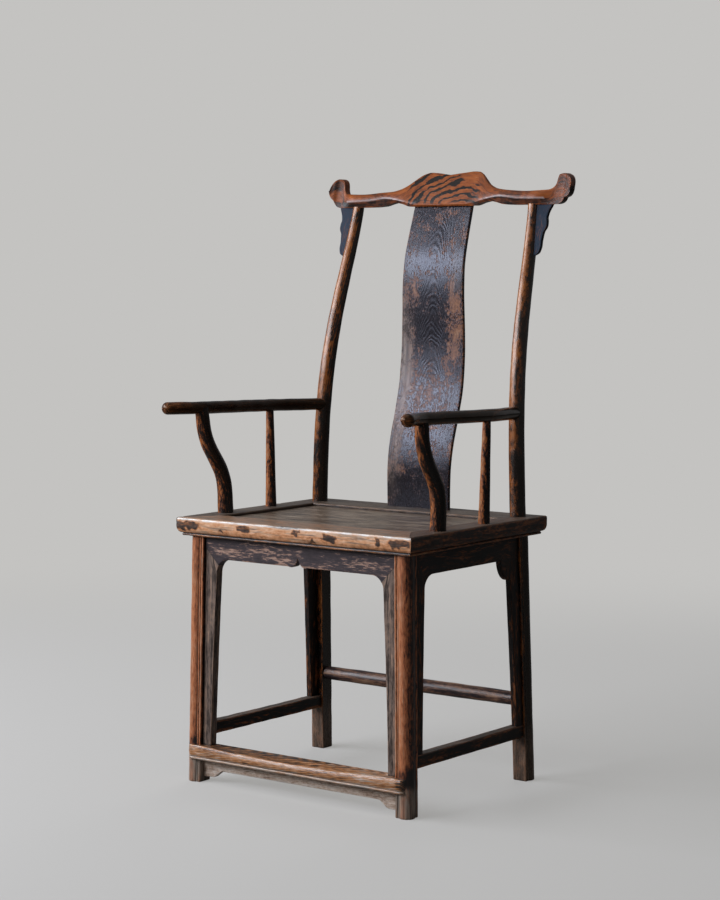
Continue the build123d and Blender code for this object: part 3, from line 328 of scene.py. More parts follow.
def wornLacquer(name, layers, **changes):
    # Layers are the colours of growing wear, and where each of them is reached.
    look = {**lacqueredElm, **changes}
    made = bpy.data.materials.new(name)
    made.use_nodes = True
    tree = made.node_tree
    shader = tree.nodes["Principled BSDF"]
    grain = addNode(tree, "UVMap", [], uv_map="grain")
    wear, dirtAndShade, film = (addNode(tree, "Attribute", [], 2, attribute_name=label)
                        for label in ("wear", "dirtAndShade", "film"))

    fields = {}
    for step, (label, (detail, twist)) in enumerate(noises.items()):
        across, along = look[label][:2]
        spot = (look["seed"] + 3.7 * step, look["seed"] * 0.6 + 5.1 * step, 0)
        mapped = addNode(tree, "Mapping", {"Vector": grain, "Location": spot,
                                           "Scale": (1000 / across, 1000 / along, 1)})
        fields[label] = addNode(tree, "TexNoise", {"Vector": mapped, "Scale": 1, "Detail": detail,
                                                   "Roughness": 0.6, "Distortion": twist})
    # Growth rings of a flat sawn board: a wave of the place across squared plus the place along
    # plus a slow noise, which gives nested flames in the middle and close lines at the sides.
    across, along = look["ring"]
    centred = addNode(tree, "Mapping", {"Vector": grain, "Scale": (1000 / across, 1000 / along, 1)})
    parts = addNode(tree, "SeparateXYZ", [centred]).node.outputs
    turns = addNode(tree, "Math", [parts[0], parts[0], parts[1]], operation="MULTIPLY_ADD")
    turns = addNode(tree, "Math", [fields["drift"], look["ringDrift"], turns], operation="MULTIPLY_ADD")
    turns = addNode(tree, "Math", [turns, 2 * math.pi], operation="MULTIPLY")
    rings = addNode(tree, "Math", [turns], operation="SINE")

    level = wear
    for label in ("streak", "patch", "flake"):
        shift = addNode(tree, "Math", [fields[label], -0.5], operation="ADD")
        level = addNode(tree, "Math", [shift, look[label][2], level], operation="MULTIPLY_ADD")
    level = addNode(tree, "Math", [rings, look["ringGain"], level], operation="MULTIPLY_ADD")
    if look["figureGain"]:
        level = zebraFigure(tree, level, look)

    ramp = addNode(tree, "ValToRGB", {"Fac": level})
    stops = ramp.node.color_ramp.elements
    for stop, (place, code) in zip(stops, (layers[0], layers[-1])):
        stop.position, stop.color = place, linear(code)
    for place, code in layers[1:-1]:
        stops.new(place).color = linear(code)
    # Pores hold dirt, then a grey film lies in broken patches, which on the crest is a painted highlight and
    # on the side stretchers' tops is partly painted light; last, the grooves darken as painted shade and the
    # joints as dirt
    dirtAndShadeColour = linear(look["dirtAndShadeColour"])
    lines = addNode(tree, "MapRange", [fields["streak"], *look["streakShows"]])
    lines = addNode(tree, "Math", [lines, look["streakDark"]], operation="MULTIPLY")
    shade = addNode(tree, "MapRange", [fields["streak"], *look["filmStreaks"]])
    greyed = addNode(tree, "Mix", {0: 1.0, 6: linear(look["filmColour"]), 7: shade}, 2,
                     data_type="RGBA", blend_type="MULTIPLY")
    cover = addNode(tree, "MapRange", [fields["patch"], *look["filmPatches"]])
    cover = addNode(tree, "Math", [film, cover], operation="MULTIPLY")
    colour = ramp
    for share, over in ((lines, dirtAndShadeColour), (cover, greyed), (dirtAndShade, dirtAndShadeColour)):
        colour = addNode(tree, "Mix", {0: share, 6: colour, 7: over}, 2, data_type="RGBA")
    tree.links.new(colour, shader.inputs["Base Color"])

    bare = addNode(tree, "MapRange", [level, *look["glossWear"], *look["gloss"]])
    rough = addNode(tree, "Math", [fields["flake"], look["glossSpread"], bare], operation="MULTIPLY_ADD")
    rough = addNode(tree, "Math", [rough, -look["glossSpread"] / 2], operation="ADD")
    tree.links.new(rough, shader.inputs["Roughness"])
    height = addNode(tree, "MapRange", [level, *look["coatEnds"]])
    for field, gain in ((fields["streak"], look["poreDepth"]), (rings, look["ringRelief"]),
                        (fields["flake"], look["ringRelief"] * 2)):
        height = addNode(tree, "Math", [field, gain, height], operation="MULTIPLY_ADD")
    bump = addNode(tree, "Bump", {"Height": height, "Strength": look["relief"],
                                  "Distance": look["bumpHeight"]})
    tree.links.new(bump, shader.inputs["Normal"])
    shader.inputs["IOR"].default_value = 1.5
    shader.inputs["Specular IOR Level"].default_value = look["shine"]
    shader.inputs["Specular Tint"].default_value = linear(look["haze"])
    return made


# Front legs: orange-brown wood that shines through dark flakes
legElm = wornLacquer("front leg elm", (
    (0.28, "#100907"), (0.42, "#26140d"), (0.47, "#6d3a22"), (0.57, "#a75f38"), (0.75, "#bb7950"),
    (0.95, "#cda287")),
    seed=3.1, patch=(22, 70, 0.4), streak=(3.2, 90, 0.6), flake=(4, 13, 0.7), streakDark=0.65,
    gloss=(0.32, 0.36), shine=0.5, filmColour="#9a8a7b")
# Rear posts: glossy near-black with warm patches where hands rubbed it
backLacquer = wornLacquer("back post lacquered elm", (
    (0.3, "#0e0907"), (0.46, "#1f110a"), (0.5, "#4c2710"), (0.57, "#824618"), (0.8, "#9d5d25"),
    (0.95, "#ac8560")),
    seed=11.3, patch=(22, 70, 1.1), streak=(2.2, 90, 0.35), flake=(5, 14, 0.7), gloss=(0.28, 0.27),
    shine=0.62, haze="#f9ebe0", filmColour="#7f6a5a")
# Sides and back below the seat: dull and dark, with few brown spots
sideLacquer = wornLacquer("brown black side lacquer", (
    (0.3, "#0b0908"), (0.5, "#16100d"), (0.57, "#40220f"), (0.67, "#844a26"), (0.85, "#a56e45")),
    seed=7.7, patch=(15, 80, 1.0), flake=(5, 14, 0.6), gloss=(0.42, 0.48), shine=0.25)
# Spandrels: bluish black
spandrelLacquer = wornLacquer("spandrel lacquer", (
    (0.3, "#171c22"), (0.5, "#242a31"), (0.56, "#38292a"), (0.64, "#6a4534"), (0.85, "#8c6450")),
    seed=17.7, patch=(22, 80, 0.7), streak=(2.2, 90, 0.3), gloss=(0.45, 0.48), shine=0.16,
    haze="#a3c4f2")
# Front apron: purplish grey-black with pale rubbed specks
apronLacquer = wornLacquer("purple black apron lacquer", (
    (0.2, "#2f272a"), (0.5, "#41373a"), (0.53, "#624a43"), (0.57, "#a17e6b"), (0.8, "#b89b8a")),
    seed=23.1, streak=(2.2, 40, 0.2), streakDark=0.2, patch=(13, 80, 0.75), flake=(2.2, 17, 0.85),
    ringGain=0.02, gloss=(0.42, 0.48))
# Strips beside the front legs: dry grey-brown streaks
stripElm = wornLacquer("grey brown strip elm", (
    (0.3, "#231c19"), (0.44, "#473b34"), (0.56, "#75645a"), (0.66, "#8d7462"), (0.8, "#b08f7a")),
    seed=29.7, patch=(9, 70, 0.6), streak=(4.5, 100, 0.9), flake=(5, 14, 0.5), ringGain=0.03,
    streakDark=0.3)
# Front edge of the seat: pale bare wood with dark pores; its near-white last colours give the painted
# highlight on the upper arris
seatEdge = wornLacquer("seat edge elm", (
    (0.3, "#332823"), (0.41, "#5b483e"), (0.46, "#8f5c3b"), (0.58, "#cf9266"), (0.7, "#e2b592"),
    (0.9, "#e6cfbd"), (1.0, "#f3ebe3")),
    seed=31.1, patch=(9, 45, 0.35), streak=(5.2, 85, 0.5), flake=(3.6, 9, 0.4), ringGain=0.02,
    gloss=(0.32, 0.32), streakDark=0.75, filmColour="#766a5e")
# Seat panel: grey-brown, sat bare, with open rings
panelElm = wornLacquer("seat panel elm", (
    (0.25, "#33281f"), (0.4, "#594a3c"), (0.52, "#7b6857"), (0.62, "#9b8a78"), (0.8, "#c3b4a3")),
    seed=37.9, streak=(4, 170, 0.7), patch=(26, 160, 0.7), flake=(3.6, 60, 0.8), ring=(26, 90),
    ringGain=0.05, gloss=(0.3, 0.46), relief=0.6)
# Arms: the smoothest lacquer, with a warm shine
armLacquer = wornLacquer("dark brown arm lacquer", (
    (0.3, "#120a06"), (0.48, "#21130a"), (0.58, "#4a2915"), (0.7, "#8c5530"), (0.9, "#b07f5c")),
    seed=41.3, patch=(22, 80, 0.6), gloss=(0.2, 0.22), shine=0.4, haze="#dcb894")
# Posts under the arms: brown, flaked in small spots
postLacquer = wornLacquer("brown arm post lacquer", (
    (0.3, "#0f0906"), (0.43, "#21120b"), (0.52, "#5c3018"), (0.63, "#a05a27"), (0.9, "#ad7d52")),
    seed=43.3, patch=(22, 80, 0.35), streak=(2.2, 90, 0.4), flake=(3.6, 10, 0.85), streakDark=0.5,
    gloss=(0.28, 0.48))
# Splat: crackled black over a burr, with a cool sheen
splatLacquer = wornLacquer("splat lacquered elm", (
    (0.3, "#191315"), (0.5, "#271c1c"), (0.53, "#432b21"), (0.58, "#6e452b"), (0.72, "#885c3b"),
    (0.95, "#a08468")),
    seed=49.6, patch=(20, 34, 0.95), flake=(3.4, 6, 0.95), streak=(4, 120, 0.35), drift=(55, 70),
    ring=(15, 15), ringDrift=5.5, ringGain=0.02, ringRelief=0.22, gloss=(0.26, 0.4), shine=0.5,
    haze="#ccd3e8", relief=0.7, filmColour="#82746a")
# Crest: red-brown wood, banded on its pillow; its pale film colour is a painted highlight along the crease
crestElm = wornLacquer("crest elm", (
    (0.2, "#120b08"), (0.34, "#20110b"), (0.45, "#522b17"), (0.58, "#84431d"), (0.8, "#ab5d26"),
    (0.95, "#bb8b63")),
    seed=53.3, patch=(22, 60, 0.65), streak=(3.4, 90, 0.7), streakDark=0.5, figureGain=0.46,
    ringGain=0.04, gloss=(0.34, 0.4), shine=0.25, filmColour="#e2d8d8")
# Footrest: trodden bare, with the strongest rings
footrestElm = wornLacquer("footrest elm", (
    (0.28, "#211813"), (0.42, "#4a3a30"), (0.5, "#80502c"), (0.62, "#b47845"), (0.77, "#c09777"),
    (0.94, "#e2d6cb")),
    seed=59.3, patch=(10, 60, 0.8), streak=(3, 90, 0.9), flake=(4, 14, 0.55), drift=(60, 90),
    ring=(15, 26), ringDrift=2.5, ringGain=0.12, streakDark=0.6, gloss=(0.32, 0.3), shine=0.5,
    filmColour="#9c8c7d")
# Apron under the footrest: matt and pale
footApronElm = wornLacquer("footrest apron elm", (
    (0.3, "#2b231f"), (0.44, "#5e4d42"), (0.54, "#a08571"), (0.7, "#c2ab98"), (0.9, "#dccec0")),
    seed=61.9, patch=(9, 40, 0.8), streak=(3.4, 90, 0.7), flake=(4, 9, 0.8), gloss=(0.32, 0.5))
# Right edge of the seat: dark, with orange flakes
sideEdge = wornLacquer("seat side edge lacquer", (
    (0.3, "#0e0805"), (0.46, "#201107"), (0.55, "#562d14"), (0.68, "#94562b"), (0.9, "#a98560")),
    seed=33.1, patch=(12, 80, 1.0), flake=(5, 14, 0.7), filmColour="#6a5e53", gloss=(0.4, 0.48))
# Left and rear of the seat: quiet grey-brown
railElm = wornLacquer("seat rail elm", (
    (0.3, "#17110e"), (0.46, "#2b2019"), (0.58, "#4f3828"), (0.72, "#7c5f48"), (0.9, "#9a7d67")),
    seed=35.3, patch=(22, 80, 0.6), streak=(2.2, 90, 0.4), flake=(5, 14, 0.4), filmColour="#6e6257",
    gloss=(0.36, 0.48))
# Rear stretcher: dark, shiny, with long worn places
stretcherLacquer = wornLacquer("rear stretcher lacquer", (
    (0.3, "#1f1718"), (0.46, "#37292b"), (0.52, "#5e4033"), (0.62, "#93694c"), (0.9, "#b19680")),
    seed=67.3, patch=(14, 110, 1.0), streak=(2.2, 90, 0.3), flake=(5, 14, 0.5), gloss=(0.34, 0.48),
    shine=0.55)
print("materials ready")


# Legs: round outside, square inside, with a bead on each inner corner. Blots are centre, half sizes
# and how much they change the wear. The feet turn grey from the first height down to the second.
leg = {"radius": 15.0, "blockIn": 19.0, "blockOut": 12.0, "beadRadius": 2.7, "grooveDepth": 2.4,
       "corner": 1.2, "points": 150, "wobble": 0.25, "sole": (0.93, 0.975), "wear": 0.52, "wearHigh": 0.05,
       "greyFoot": (60, 48), "blot": ((262, -240, 74), (24, 24, 16), -0.22)}


def legSection():
    # Round outside, flat faces, then a groove and a half-round bead at each corner of the block.
    out, inn, r, b = leg["blockOut"], leg["blockIn"], leg["radius"], leg["beadRadius"]
    c, meet = leg["corner"], math.sqrt(leg["radius"]**2 - leg["blockOut"]**2)
    turn = math.degrees(math.asin(out / r))
    face = [[meet + 1, -out + 0.2], [inn - 2 * b - 1.2, -out + 0.4],
            [inn - 2 * b - 0.5, -out + leg["grooveDepth"]]]
    beadA = np.vstack([face, arc(inn - b, -out + b, b, 195, 350, 12)])
    corner = arc(inn - c, inn - c, c, 0, 90, 5)
    outer = arc(0, 0, r, 90 + turn, 360 - turn, 40)
    return even(np.vstack([outer, beadA, corner, beadA[::-1, ::-1]]), leg["points"], True)


def legRows(section, above=()):
    # Heights from the floor up, and the section at each of them, drawn in at the sole.
    z = np.concatenate([[0, 0.6, 1.8], np.linspace(5, chair["seatBottom"], 90), above])
    shrink = np.ones(len(z))
    shrink[:2] = leg["sole"]
    return z, section[None] * shrink[:, None, None]


def frontLegSkin():
    # The section is carried straight from the floor to the seat along the splay. Its first axis
    # runs inwards along Y, its second inwards along X.
    z, local = legRows(legSection())
    return grid(legX(z)[:, None] - local[..., 1], frontLegY(z)[:, None] + local[..., 0], z[:, None])


# The bends are the weights of the powers of the rise's share, by which the post leans back and in
backPost = {"radius": 15.6, "midRadius": 15.0, "topRadius": 11.2, "rise": 604.0, "lean": 97.0, "inward": 29.0,
            "leanBend": (1.28, 1.34, 1.62), "inwardBend": (0.55, 0.45), "roundsOver": 12.0,
            "wear": 0.31, "wearHigh": 0.15, "wearsFrom": (690, 750), "greyFoot": (118, 58)}


def postShare(z):
    return np.clip((z - chair["seatTop"]) / backPost["rise"], 0, 1)


def postCentre(z):
    t, p = postShare(z), backPost
    footX = legX(chair["seatBottom"]) - chair["blockShift"]
    footY = rearLegY(chair["seatBottom"]) - chair["blockShift"]
    (a, b, c), (d, e) = p["leanBend"], p["inwardBend"]
    return footX - p["inward"] * (d * t + e * t**2), footY + p["lean"] * t**3 * (a + b * t - c * t**2)


def postRadius(z):
    t, p = postShare(z), backPost
    return p["radius"] - (p["radius"] - p["midRadius"]) * t - (p["midRadius"] - p["topRadius"]) * t**3


def rearPostSkin():
    # Leg section below the seat; inside the seat it turns into the round post, which leans back and
    # in. The section is moved so that the block and the round share one axis.
    section = legSection() - chair["blockShift"]
    z, local = legRows(section, np.linspace(490, 1126, 150))
    angles = np.arctan2(section[:, 1], section[:, 0])
    share = between(z, chair["seatBottom"], chair["seatBottom"] + backPost["roundsOver"])[:, None, None]
    circle = line(np.cos(angles), np.sin(angles))[None] * postRadius(z)[:, None, None]
    local = local * (1 - share) + circle * share
    below = z <= chair["seatBottom"]
    postX, postY = postCentre(z)
    middleX = np.where(below, legX(z) - chair["blockShift"], postX)
    middleY = np.where(below, rearLegY(z) - chair["blockShift"], postY)
    return grid(middleX[:, None] - local[..., 0], middleY[:, None] - local[..., 1], z[:, None])


# Facing, the number after the arris wear, paints the side turned to the window lamp paler and the far side
# darker: painted light and shade
for side, seed in (("right", 1), ("left", 2)):
    skin = weathered(onHand(side, frontLegSkin()), leg["wobble"], 45, seed)
    z = skin[..., 2]
    (x, y, height), half, amount = leg["blot"]
    blot = ((np.sign(skin[0, 0, 0]) * x, y, height), half, amount)
    wear = leg["wear"] - leg["wearHigh"] * between(z, 380, 480) + blots(skin, [blot], 3.0)
    settle(surface(f"{side}FrontLeg", skin, wear, 0.12, 0.22, film=between(z, *leg["greyFoot"])),
           legElm, "worn_lacquer", f"{side}_front_leg")
    skin = weathered(onHand(side, rearPostSkin()), leg["wobble"], 55, seed + 10)
    z = skin[..., 2]
    wear = backPost["wear"] + backPost["wearHigh"] * between(z, *backPost["wearsFrom"])
    settle(surface(f"{side}RearPost", skin, wear, 0.2, 0.24, film=0.8 * between(z, *backPost["greyFoot"])),
           backLacquer, "brown_lacquer", f"{side}_rear_post")
print("legs and posts ready")


# Plates: a front face between two edge lines, wrapped round small arrises to a back face
def plateSection(thickness, arris, perFace):
    # Rows of (share of the width, offset in mm, depth in mm) round the plate, front face first.
    share = np.linspace(0, 1, perFace)
    bends = np.radians(np.linspace(0, 90, 5)[1:-1])
    rise, fall = arris * (1 - np.sin(bends)), arris * (1 - np.cos(bends))
    front = line(share, arris * (1 - 2 * share), 0)
    outer = line(1, -rise, fall)
    back = front[::-1] + [0, 0, thickness]
    side = np.array([[1, 0, arris], [1, 0, thickness - arris]])
    outerBack = line(1, -fall, thickness - rise)
    flip = lambda part: line(1 - part[::-1, 0], -part[::-1, 1], part[::-1, 2])
    return np.vstack([front, outer, side, outerBack, back, flip(outerBack), flip(side), flip(outer)])


def plate(inner, outer, place, thickness, arris=1.2, perFace=12):
    # inner and outer are the two edge lines, row by row, in the plate's own plane; place turns
    # (first, second, depth) of that plane into the chair's X, Y and Z.
    section = plateSection(thickness, arris, perFace)
    span = outer - inner
    length = np.linalg.norm(span, axis=1, keepdims=True)
    way = span / np.maximum(length, 1e-6)
    across = section[None, :, 0] * np.maximum(length, 2.2 * arris) + section[None, :, 1]
    spots = inner[:, None] + way[:, None] * across[..., None]
    depth = np.broadcast_to(section[None, :, 2], spots.shape[:2])
    return place(spots[..., 0], spots[..., 1], depth)


# Aprons and strips under the seat. The cusp's points are half widths off the middle and mm over the
# underside, the rubbed places are centre, half sizes and amount.
apronFrame = {"under": 441.0, "mitreTop": 463.0, "stripTop": 31.0, "stripFoot": 21.0, "corner": 27.0,
              "cuspHalf": 11.0, "cuspX": (0, 0.14, 0.36, 0.66, 1, 1.5, 2.2),
              "cuspZ": (17, 12.5, 7.5, 2.8, 0, -1.4, 0),
              "frontRecess": 7.0, "sideRecess": 5.0, "frontThick": 17.0, "sideThick": 12.0, "rearThick": 14.0,
              "footTop": 74.0, "sideFoot": 112.5, "earWidth": 31.0, "earHeight": 41.0, "arris": 1.3,
              "wear": 0.39,
              "rubbed": (((-95, -215, 456), (115, 40, 9), 0.11), ((-70, -215, 470), (60, 40, 8), 0.05),
                         ((135, -215, 458), (85, 40, 10), 0.09), ((0, -215, 441), (300, 40, 3), 0.1))}


def stripWidth(z):
    f = apronFrame
    share = np.clip((z - f["footTop"]) / (f["under"] - f["footTop"]), 0, 1)
    return f["stripFoot"] + (f["stripTop"] - f["stripFoot"]) * share**1.5


def onFront(a, b, depth):
    return grid(a, frontLegY(b) - leg["blockOut"] + apronFrame["frontRecess"] + depth, b)


def onSide(a, b, depth):
    return grid(legX(b) + leg["blockOut"] - apronFrame["sideRecess"] - depth, a, b)


def legFace(z):
    # Inner face of the legs, where the front and rear boards end.
    return legX(z) - leg["blockIn"]


def roundCorner(edgeAt, outward):
    # Arc from a strip's inner edge to the apron's underside, and its point where the mitre meets it.
    f = apronFrame
    low = f["under"] - f["corner"]
    centre = np.array([edgeAt(low) + outward * f["corner"], low])
    angles = np.radians(np.linspace(0, 90, 181))
    ring = centre + f["corner"] * line(-outward * np.cos(angles), np.sin(angles))
    start = np.array([edgeAt(low) - outward * stripWidth(low), f["mitreTop"]])
    off = (ring[:, 0] - start[0]) * outward - (start[1] - ring[:, 1])
    return ring, int(np.argmin(np.abs(off)))


def mitreEnd(face):
    # Outer end of an apron, from its top down the leg's face to the mitre.
    top, foot = chair["seatBottom"], apronFrame["mitreTop"]
    drop = np.linspace(0, 1, 12)[1:, None]
    return np.array([[face(top), top]]) + drop * [[face(foot) - face(top), foot - top]]


def stripPlate(edge, face, curveIn, foot, rows, place, thick, perFace):
    # Strip beside a leg: straight up from its foot, then along the corner's curve to the mitre.
    f = apronFrame
    z = np.linspace(foot + 0.2, curveIn[0, 1], rows)
    inner = np.vstack([line(edge(z), z), curveIn[1:]])
    knots = [0, rows - 1, len(inner) - 1]
    zOuter = np.interp(np.arange(len(inner)), knots, [foot + 0.2, curveIn[0, 1], f["mitreTop"]])
    return plate(inner, line(face(zOuter), zOuter), place, thick, f["arris"], perFace)


def frontFrame():
    # Apron from its middle outwards: the cusp, the straight run, then the arc to the mitre. Above
    # them run the points of its top, and both are mirrored for the left half.
    f, top = apronFrame, chair["seatBottom"]
    edgeAt = lambda z: legFace(z) - stripWidth(z)
    ring, cut = roundCorner(edgeAt, -1)
    half = f["cuspHalf"]
    cusp = line(half * np.array(f["cuspX"]), np.array(f["cuspZ"]) + f["under"])
    run = line(np.linspace(half * 2.5, ring[-1, 0], 60), f["under"])
    under = np.vstack([even(cusp, 30), run, ring[cut:-1][::-6], ring[cut]])
    topX = np.interp(under[:, 0], [0, ring[-1, 0], ring[cut, 0]], [0, legFace(top) - 12, legFace(top)])
    upper = np.vstack([line(topX, top), mitreEnd(legFace)])
    under = np.vstack([under, np.repeat(under[-1:], 11, axis=0)])
    lower = np.vstack([under[::-1] * [-1, 1], under[1:]])
    upper = np.vstack([upper[::-1] * [-1, 1], upper[1:]])
    apron = plate(lower, upper, onFront, f["frontThick"], f["arris"], 14)
    curveIn = np.vstack([ring[0], ring[1:cut:4], ring[cut]])
    return apron, stripPlate(edgeAt, legFace, curveIn, f["footTop"], 90, onFront, f["frontThick"], 9)


def sideFrame():
    # As in front, but behind a convex ear, a quarter ellipse, hangs in the corner.
    f, top = apronFrame, chair["seatBottom"]
    frontFace = lambda z: frontLegY(z) + leg["blockIn"]
    rearFace = lambda z: rearLegY(z) - leg["blockIn"]
    frontEdge = lambda z: frontFace(z) + stripWidth(z)
    rearEdge = lambda z: rearFace(z) - stripWidth(z)
    ring, cut = roundCorner(frontEdge, 1)
    corner = np.array([rearEdge(f["under"]) + f["earWidth"] * 0.05, f["under"] + 0.8])
    angles = np.radians(np.linspace(180, 270, 181))
    ear = corner + line(f["earWidth"] * np.cos(angles), f["earHeight"] * np.sin(angles))
    off = (rearFace(f["mitreTop"]) - ear[:, 0]) - (f["mitreTop"] - ear[:, 1])
    earCut = int(np.argmin(np.abs(off)))
    run = line(np.linspace(ring[-1, 0], ear[0, 0], 70), f["under"])
    under = np.vstack([ring[cut], ring[cut:][::5], run[1:-1], ear[:earCut][::5], ear[earCut]])
    topA, topB = frontFace(top), rearFace(top)
    knots = [under[0, 0], ring[-1, 0], ear[0, 0], under[-1, 0]]
    topY = np.interp(under[:, 0], knots, [topA, topA + 10, topB - 12, topB])
    upper = np.vstack([mitreEnd(frontFace)[::-1], line(topY, top), mitreEnd(rearFace)])
    under = np.vstack([np.repeat(under[:1], 11, axis=0), under, np.repeat(under[-1:], 11, axis=0)])
    apron = plate(under, upper, onSide, f["sideThick"], f["arris"], 12)

    # The ear's foot meets the strip's straight edge where the ellipse crosses it
    lowEar = ear[earCut:][::-1]
    keep = lowEar[:, 0] < rearEdge(lowEar[:, 1]) + 0.2
    curves = (np.vstack([ring[:cut:4], ring[cut]]), np.vstack([lowEar[keep][::4], ear[earCut]]))
    strips = (stripPlate(edge, face, curveIn, f["sideFoot"], 80, onSide, f["sideThick"], 8)
              for edge, face, curveIn in zip((frontEdge, rearEdge), (frontFace, rearFace), curves))
    return apron, *strips


apronSkin, stripSkin = frontFrame()
apronSkin = weathered(apronSkin, 0.22, 40, 21)
wear = apronFrame["wear"] + blots(apronSkin, apronFrame["rubbed"])
facing = (apronSkin[..., 1] + apronSkin[..., 2], apronSkin[..., 0])
settle(surface("frontApron", apronSkin, wear, 0.3, 0.0, seams=0.8, board=facing),
       apronLacquer, "brown_lacquer", "front_apron")
sidePieces = list(zip(("SideApron", "SideFrontStrip", "SideRearStrip"), sideFrame(),
                      ("side_apron", "side_front_strip", "side_rear_strip")))
# Painted shadow: the front strips darken along the edge next to the leg, where the gap between them is in
# shade
gapShadow = np.clip(1.3 - (legFace(stripSkin[..., 2]) - stripSkin[..., 0]) / 3.5, 0, 0.95)
for side, seed in (("right", 31), ("left", 41)):
    settle(surface(f"{side}FrontStrip", weathered(onHand(side, stripSkin), 0.2, 40, seed), 0.53, 0.3,
                   seams=0.8, gapShadow=gapShadow), stripElm, "brown_lacquer", f"{side}_front_strip")
    for step, (label, skin, node) in enumerate(sidePieces, 1):
        skin = weathered(onHand(side, skin), 0.2, 40, seed + step)
        settle(surface(f"{side}{label}", skin, 0.45, 0.14, seams=0.8),
               sideLacquer, "dark_lacquer", f"{side}_{node}")


def onRear(a, b, depth):
    middle = rearLegY(chair["seatBottom"]) - chair["blockShift"]
    return grid(a, middle - apronFrame["rearThick"] / 2 + depth, b)


x = np.linspace(-1, 1, 60) * legFace(chair["seatBottom"])
rearSkin = plate(line(x, apronFrame["under"]), line(x, chair["seatBottom"]), onRear, apronFrame["rearThick"])
settle(surface("rearApron", weathered(rearSkin, 0.2, 40, 51), 0.4, 0.2),
       sideLacquer, "dark_lacquer", "rear_apron")
print("aprons and strips ready")


# Seat: four mitred rails with a moulded edge, round a panel that lies lower. The front edge is paler
# with its height: partly wear, partly painted light and shade, a highlight towards the top arris and shade
# down the drawn-in face and the bead. The old lacquer left on it is in patches: place along X and height,
# half length and half height.
seat = {"arris": 3.6, "upright": 13.0, "draw": 7.5, "beadInset": 8.0, "beadRadius": 2.5, "cornerMitre": 12.0,
        "frontWidth": 75.0, "rearWidth": 90.0, "sideWidth": 54.0, "panelDrop": 6.0, "panelThick": 11.0,
        "dent": 1.2, "dentSize": 22, "patchLacquer": -0.26, "filmOnTop": 0.85,
        "ridgeDrop": 2.6, "ridgeHeight": 1.6, "ridgeRubAndHighlight": 0.32,
        "edgeWear": ((489, 490, 492, 498, 510, 516), (0.24, 0.3, 0.53, 0.57, 0.67, 0.74)),
        "patches": ((-258, 506, 33, 9), (-168, 500, 4, 2.5), (-113, 507, 17, 7), (17, 511, 9, 6),
                    (52, 497, 9, 2), (95, 505, 16, 7), (207, 507, 7, 8), (258, 506, 25, 7))}


def railSection(width, count=130):
    # Inset from the outer edge against height: top arris, upright face that draws in, groove, bead,
    # underside.
    s, top, under = seat, chair["seatTop"], chair["seatBottom"]
    faceLow = under + 2 * s["beadRadius"] + 1.2
    turn = np.radians(np.linspace(90, 0, 14))
    low = top - s["arris"] - s["upright"]
    drawn = line(s["draw"] * (1 - np.cos(turn)), low - (low - faceLow) * np.sin(turn))
    bead = arc(s["beadInset"] + s["beadRadius"], under + s["beadRadius"], s["beadRadius"], 100, 265, 12)
    arris = arc(s["arris"], top - s["arris"], s["arris"], 180, 90, 9)
    inner = [[width - 1.2, top], [width, top - 1.2], [width, under]]
    groove = [[s["beadInset"] + 0.6, under + 2 * s["beadRadius"] + 0.5]]
    return even(np.vstack([arris, inner, bead[::-1], groove, drawn, [[0, top - s["arris"]]]]), count, True)


def mitreAt(inset, width, crossWidth):
    # Both mouldings meet at 45 degrees; past them the mitre runs to the inner corner.
    c = seat["cornerMitre"]
    return np.where(inset < c, inset, c + (inset - c) * (crossWidth - c) / (width - c))


def railSkin(which):
    s, across = seat, which in ("front", "rear")
    rows = np.linspace(-1, 1, 320 if which == "front" else 150)[:, None]
    width = s[which + "Width"] if across else s["sideWidth"]
    inset, z = railSection(width).T
    if across:
        x = rows * (chair["seatRight"] - mitreAt(inset, width, s["sideWidth"]))
        return grid(x, chair["seatFront"] + inset if which == "front" else chair["seatRear"] - inset, z)
    start = chair["seatFront"] + mitreAt(inset, width, s["frontWidth"])
    stop = chair["seatRear"] - mitreAt(inset, width, s["rearWidth"])
    return onHand(which, grid(chair["seatRight"] - inset, start + (rows + 1) / 2 * (stop - start), z))


def dented(points, depth, size, seed):
    # Knocks: only the deepest troughs of the noise press into the skin.
    away = points - points.mean(axis=1, keepdims=True)
    away /= np.linalg.norm(away, axis=2, keepdims=True) + 1e-6
    hollow = np.clip(waviness(points, size, seed) - 0.55, 0, 1)
    return points - away * (hollow * depth)[..., None]


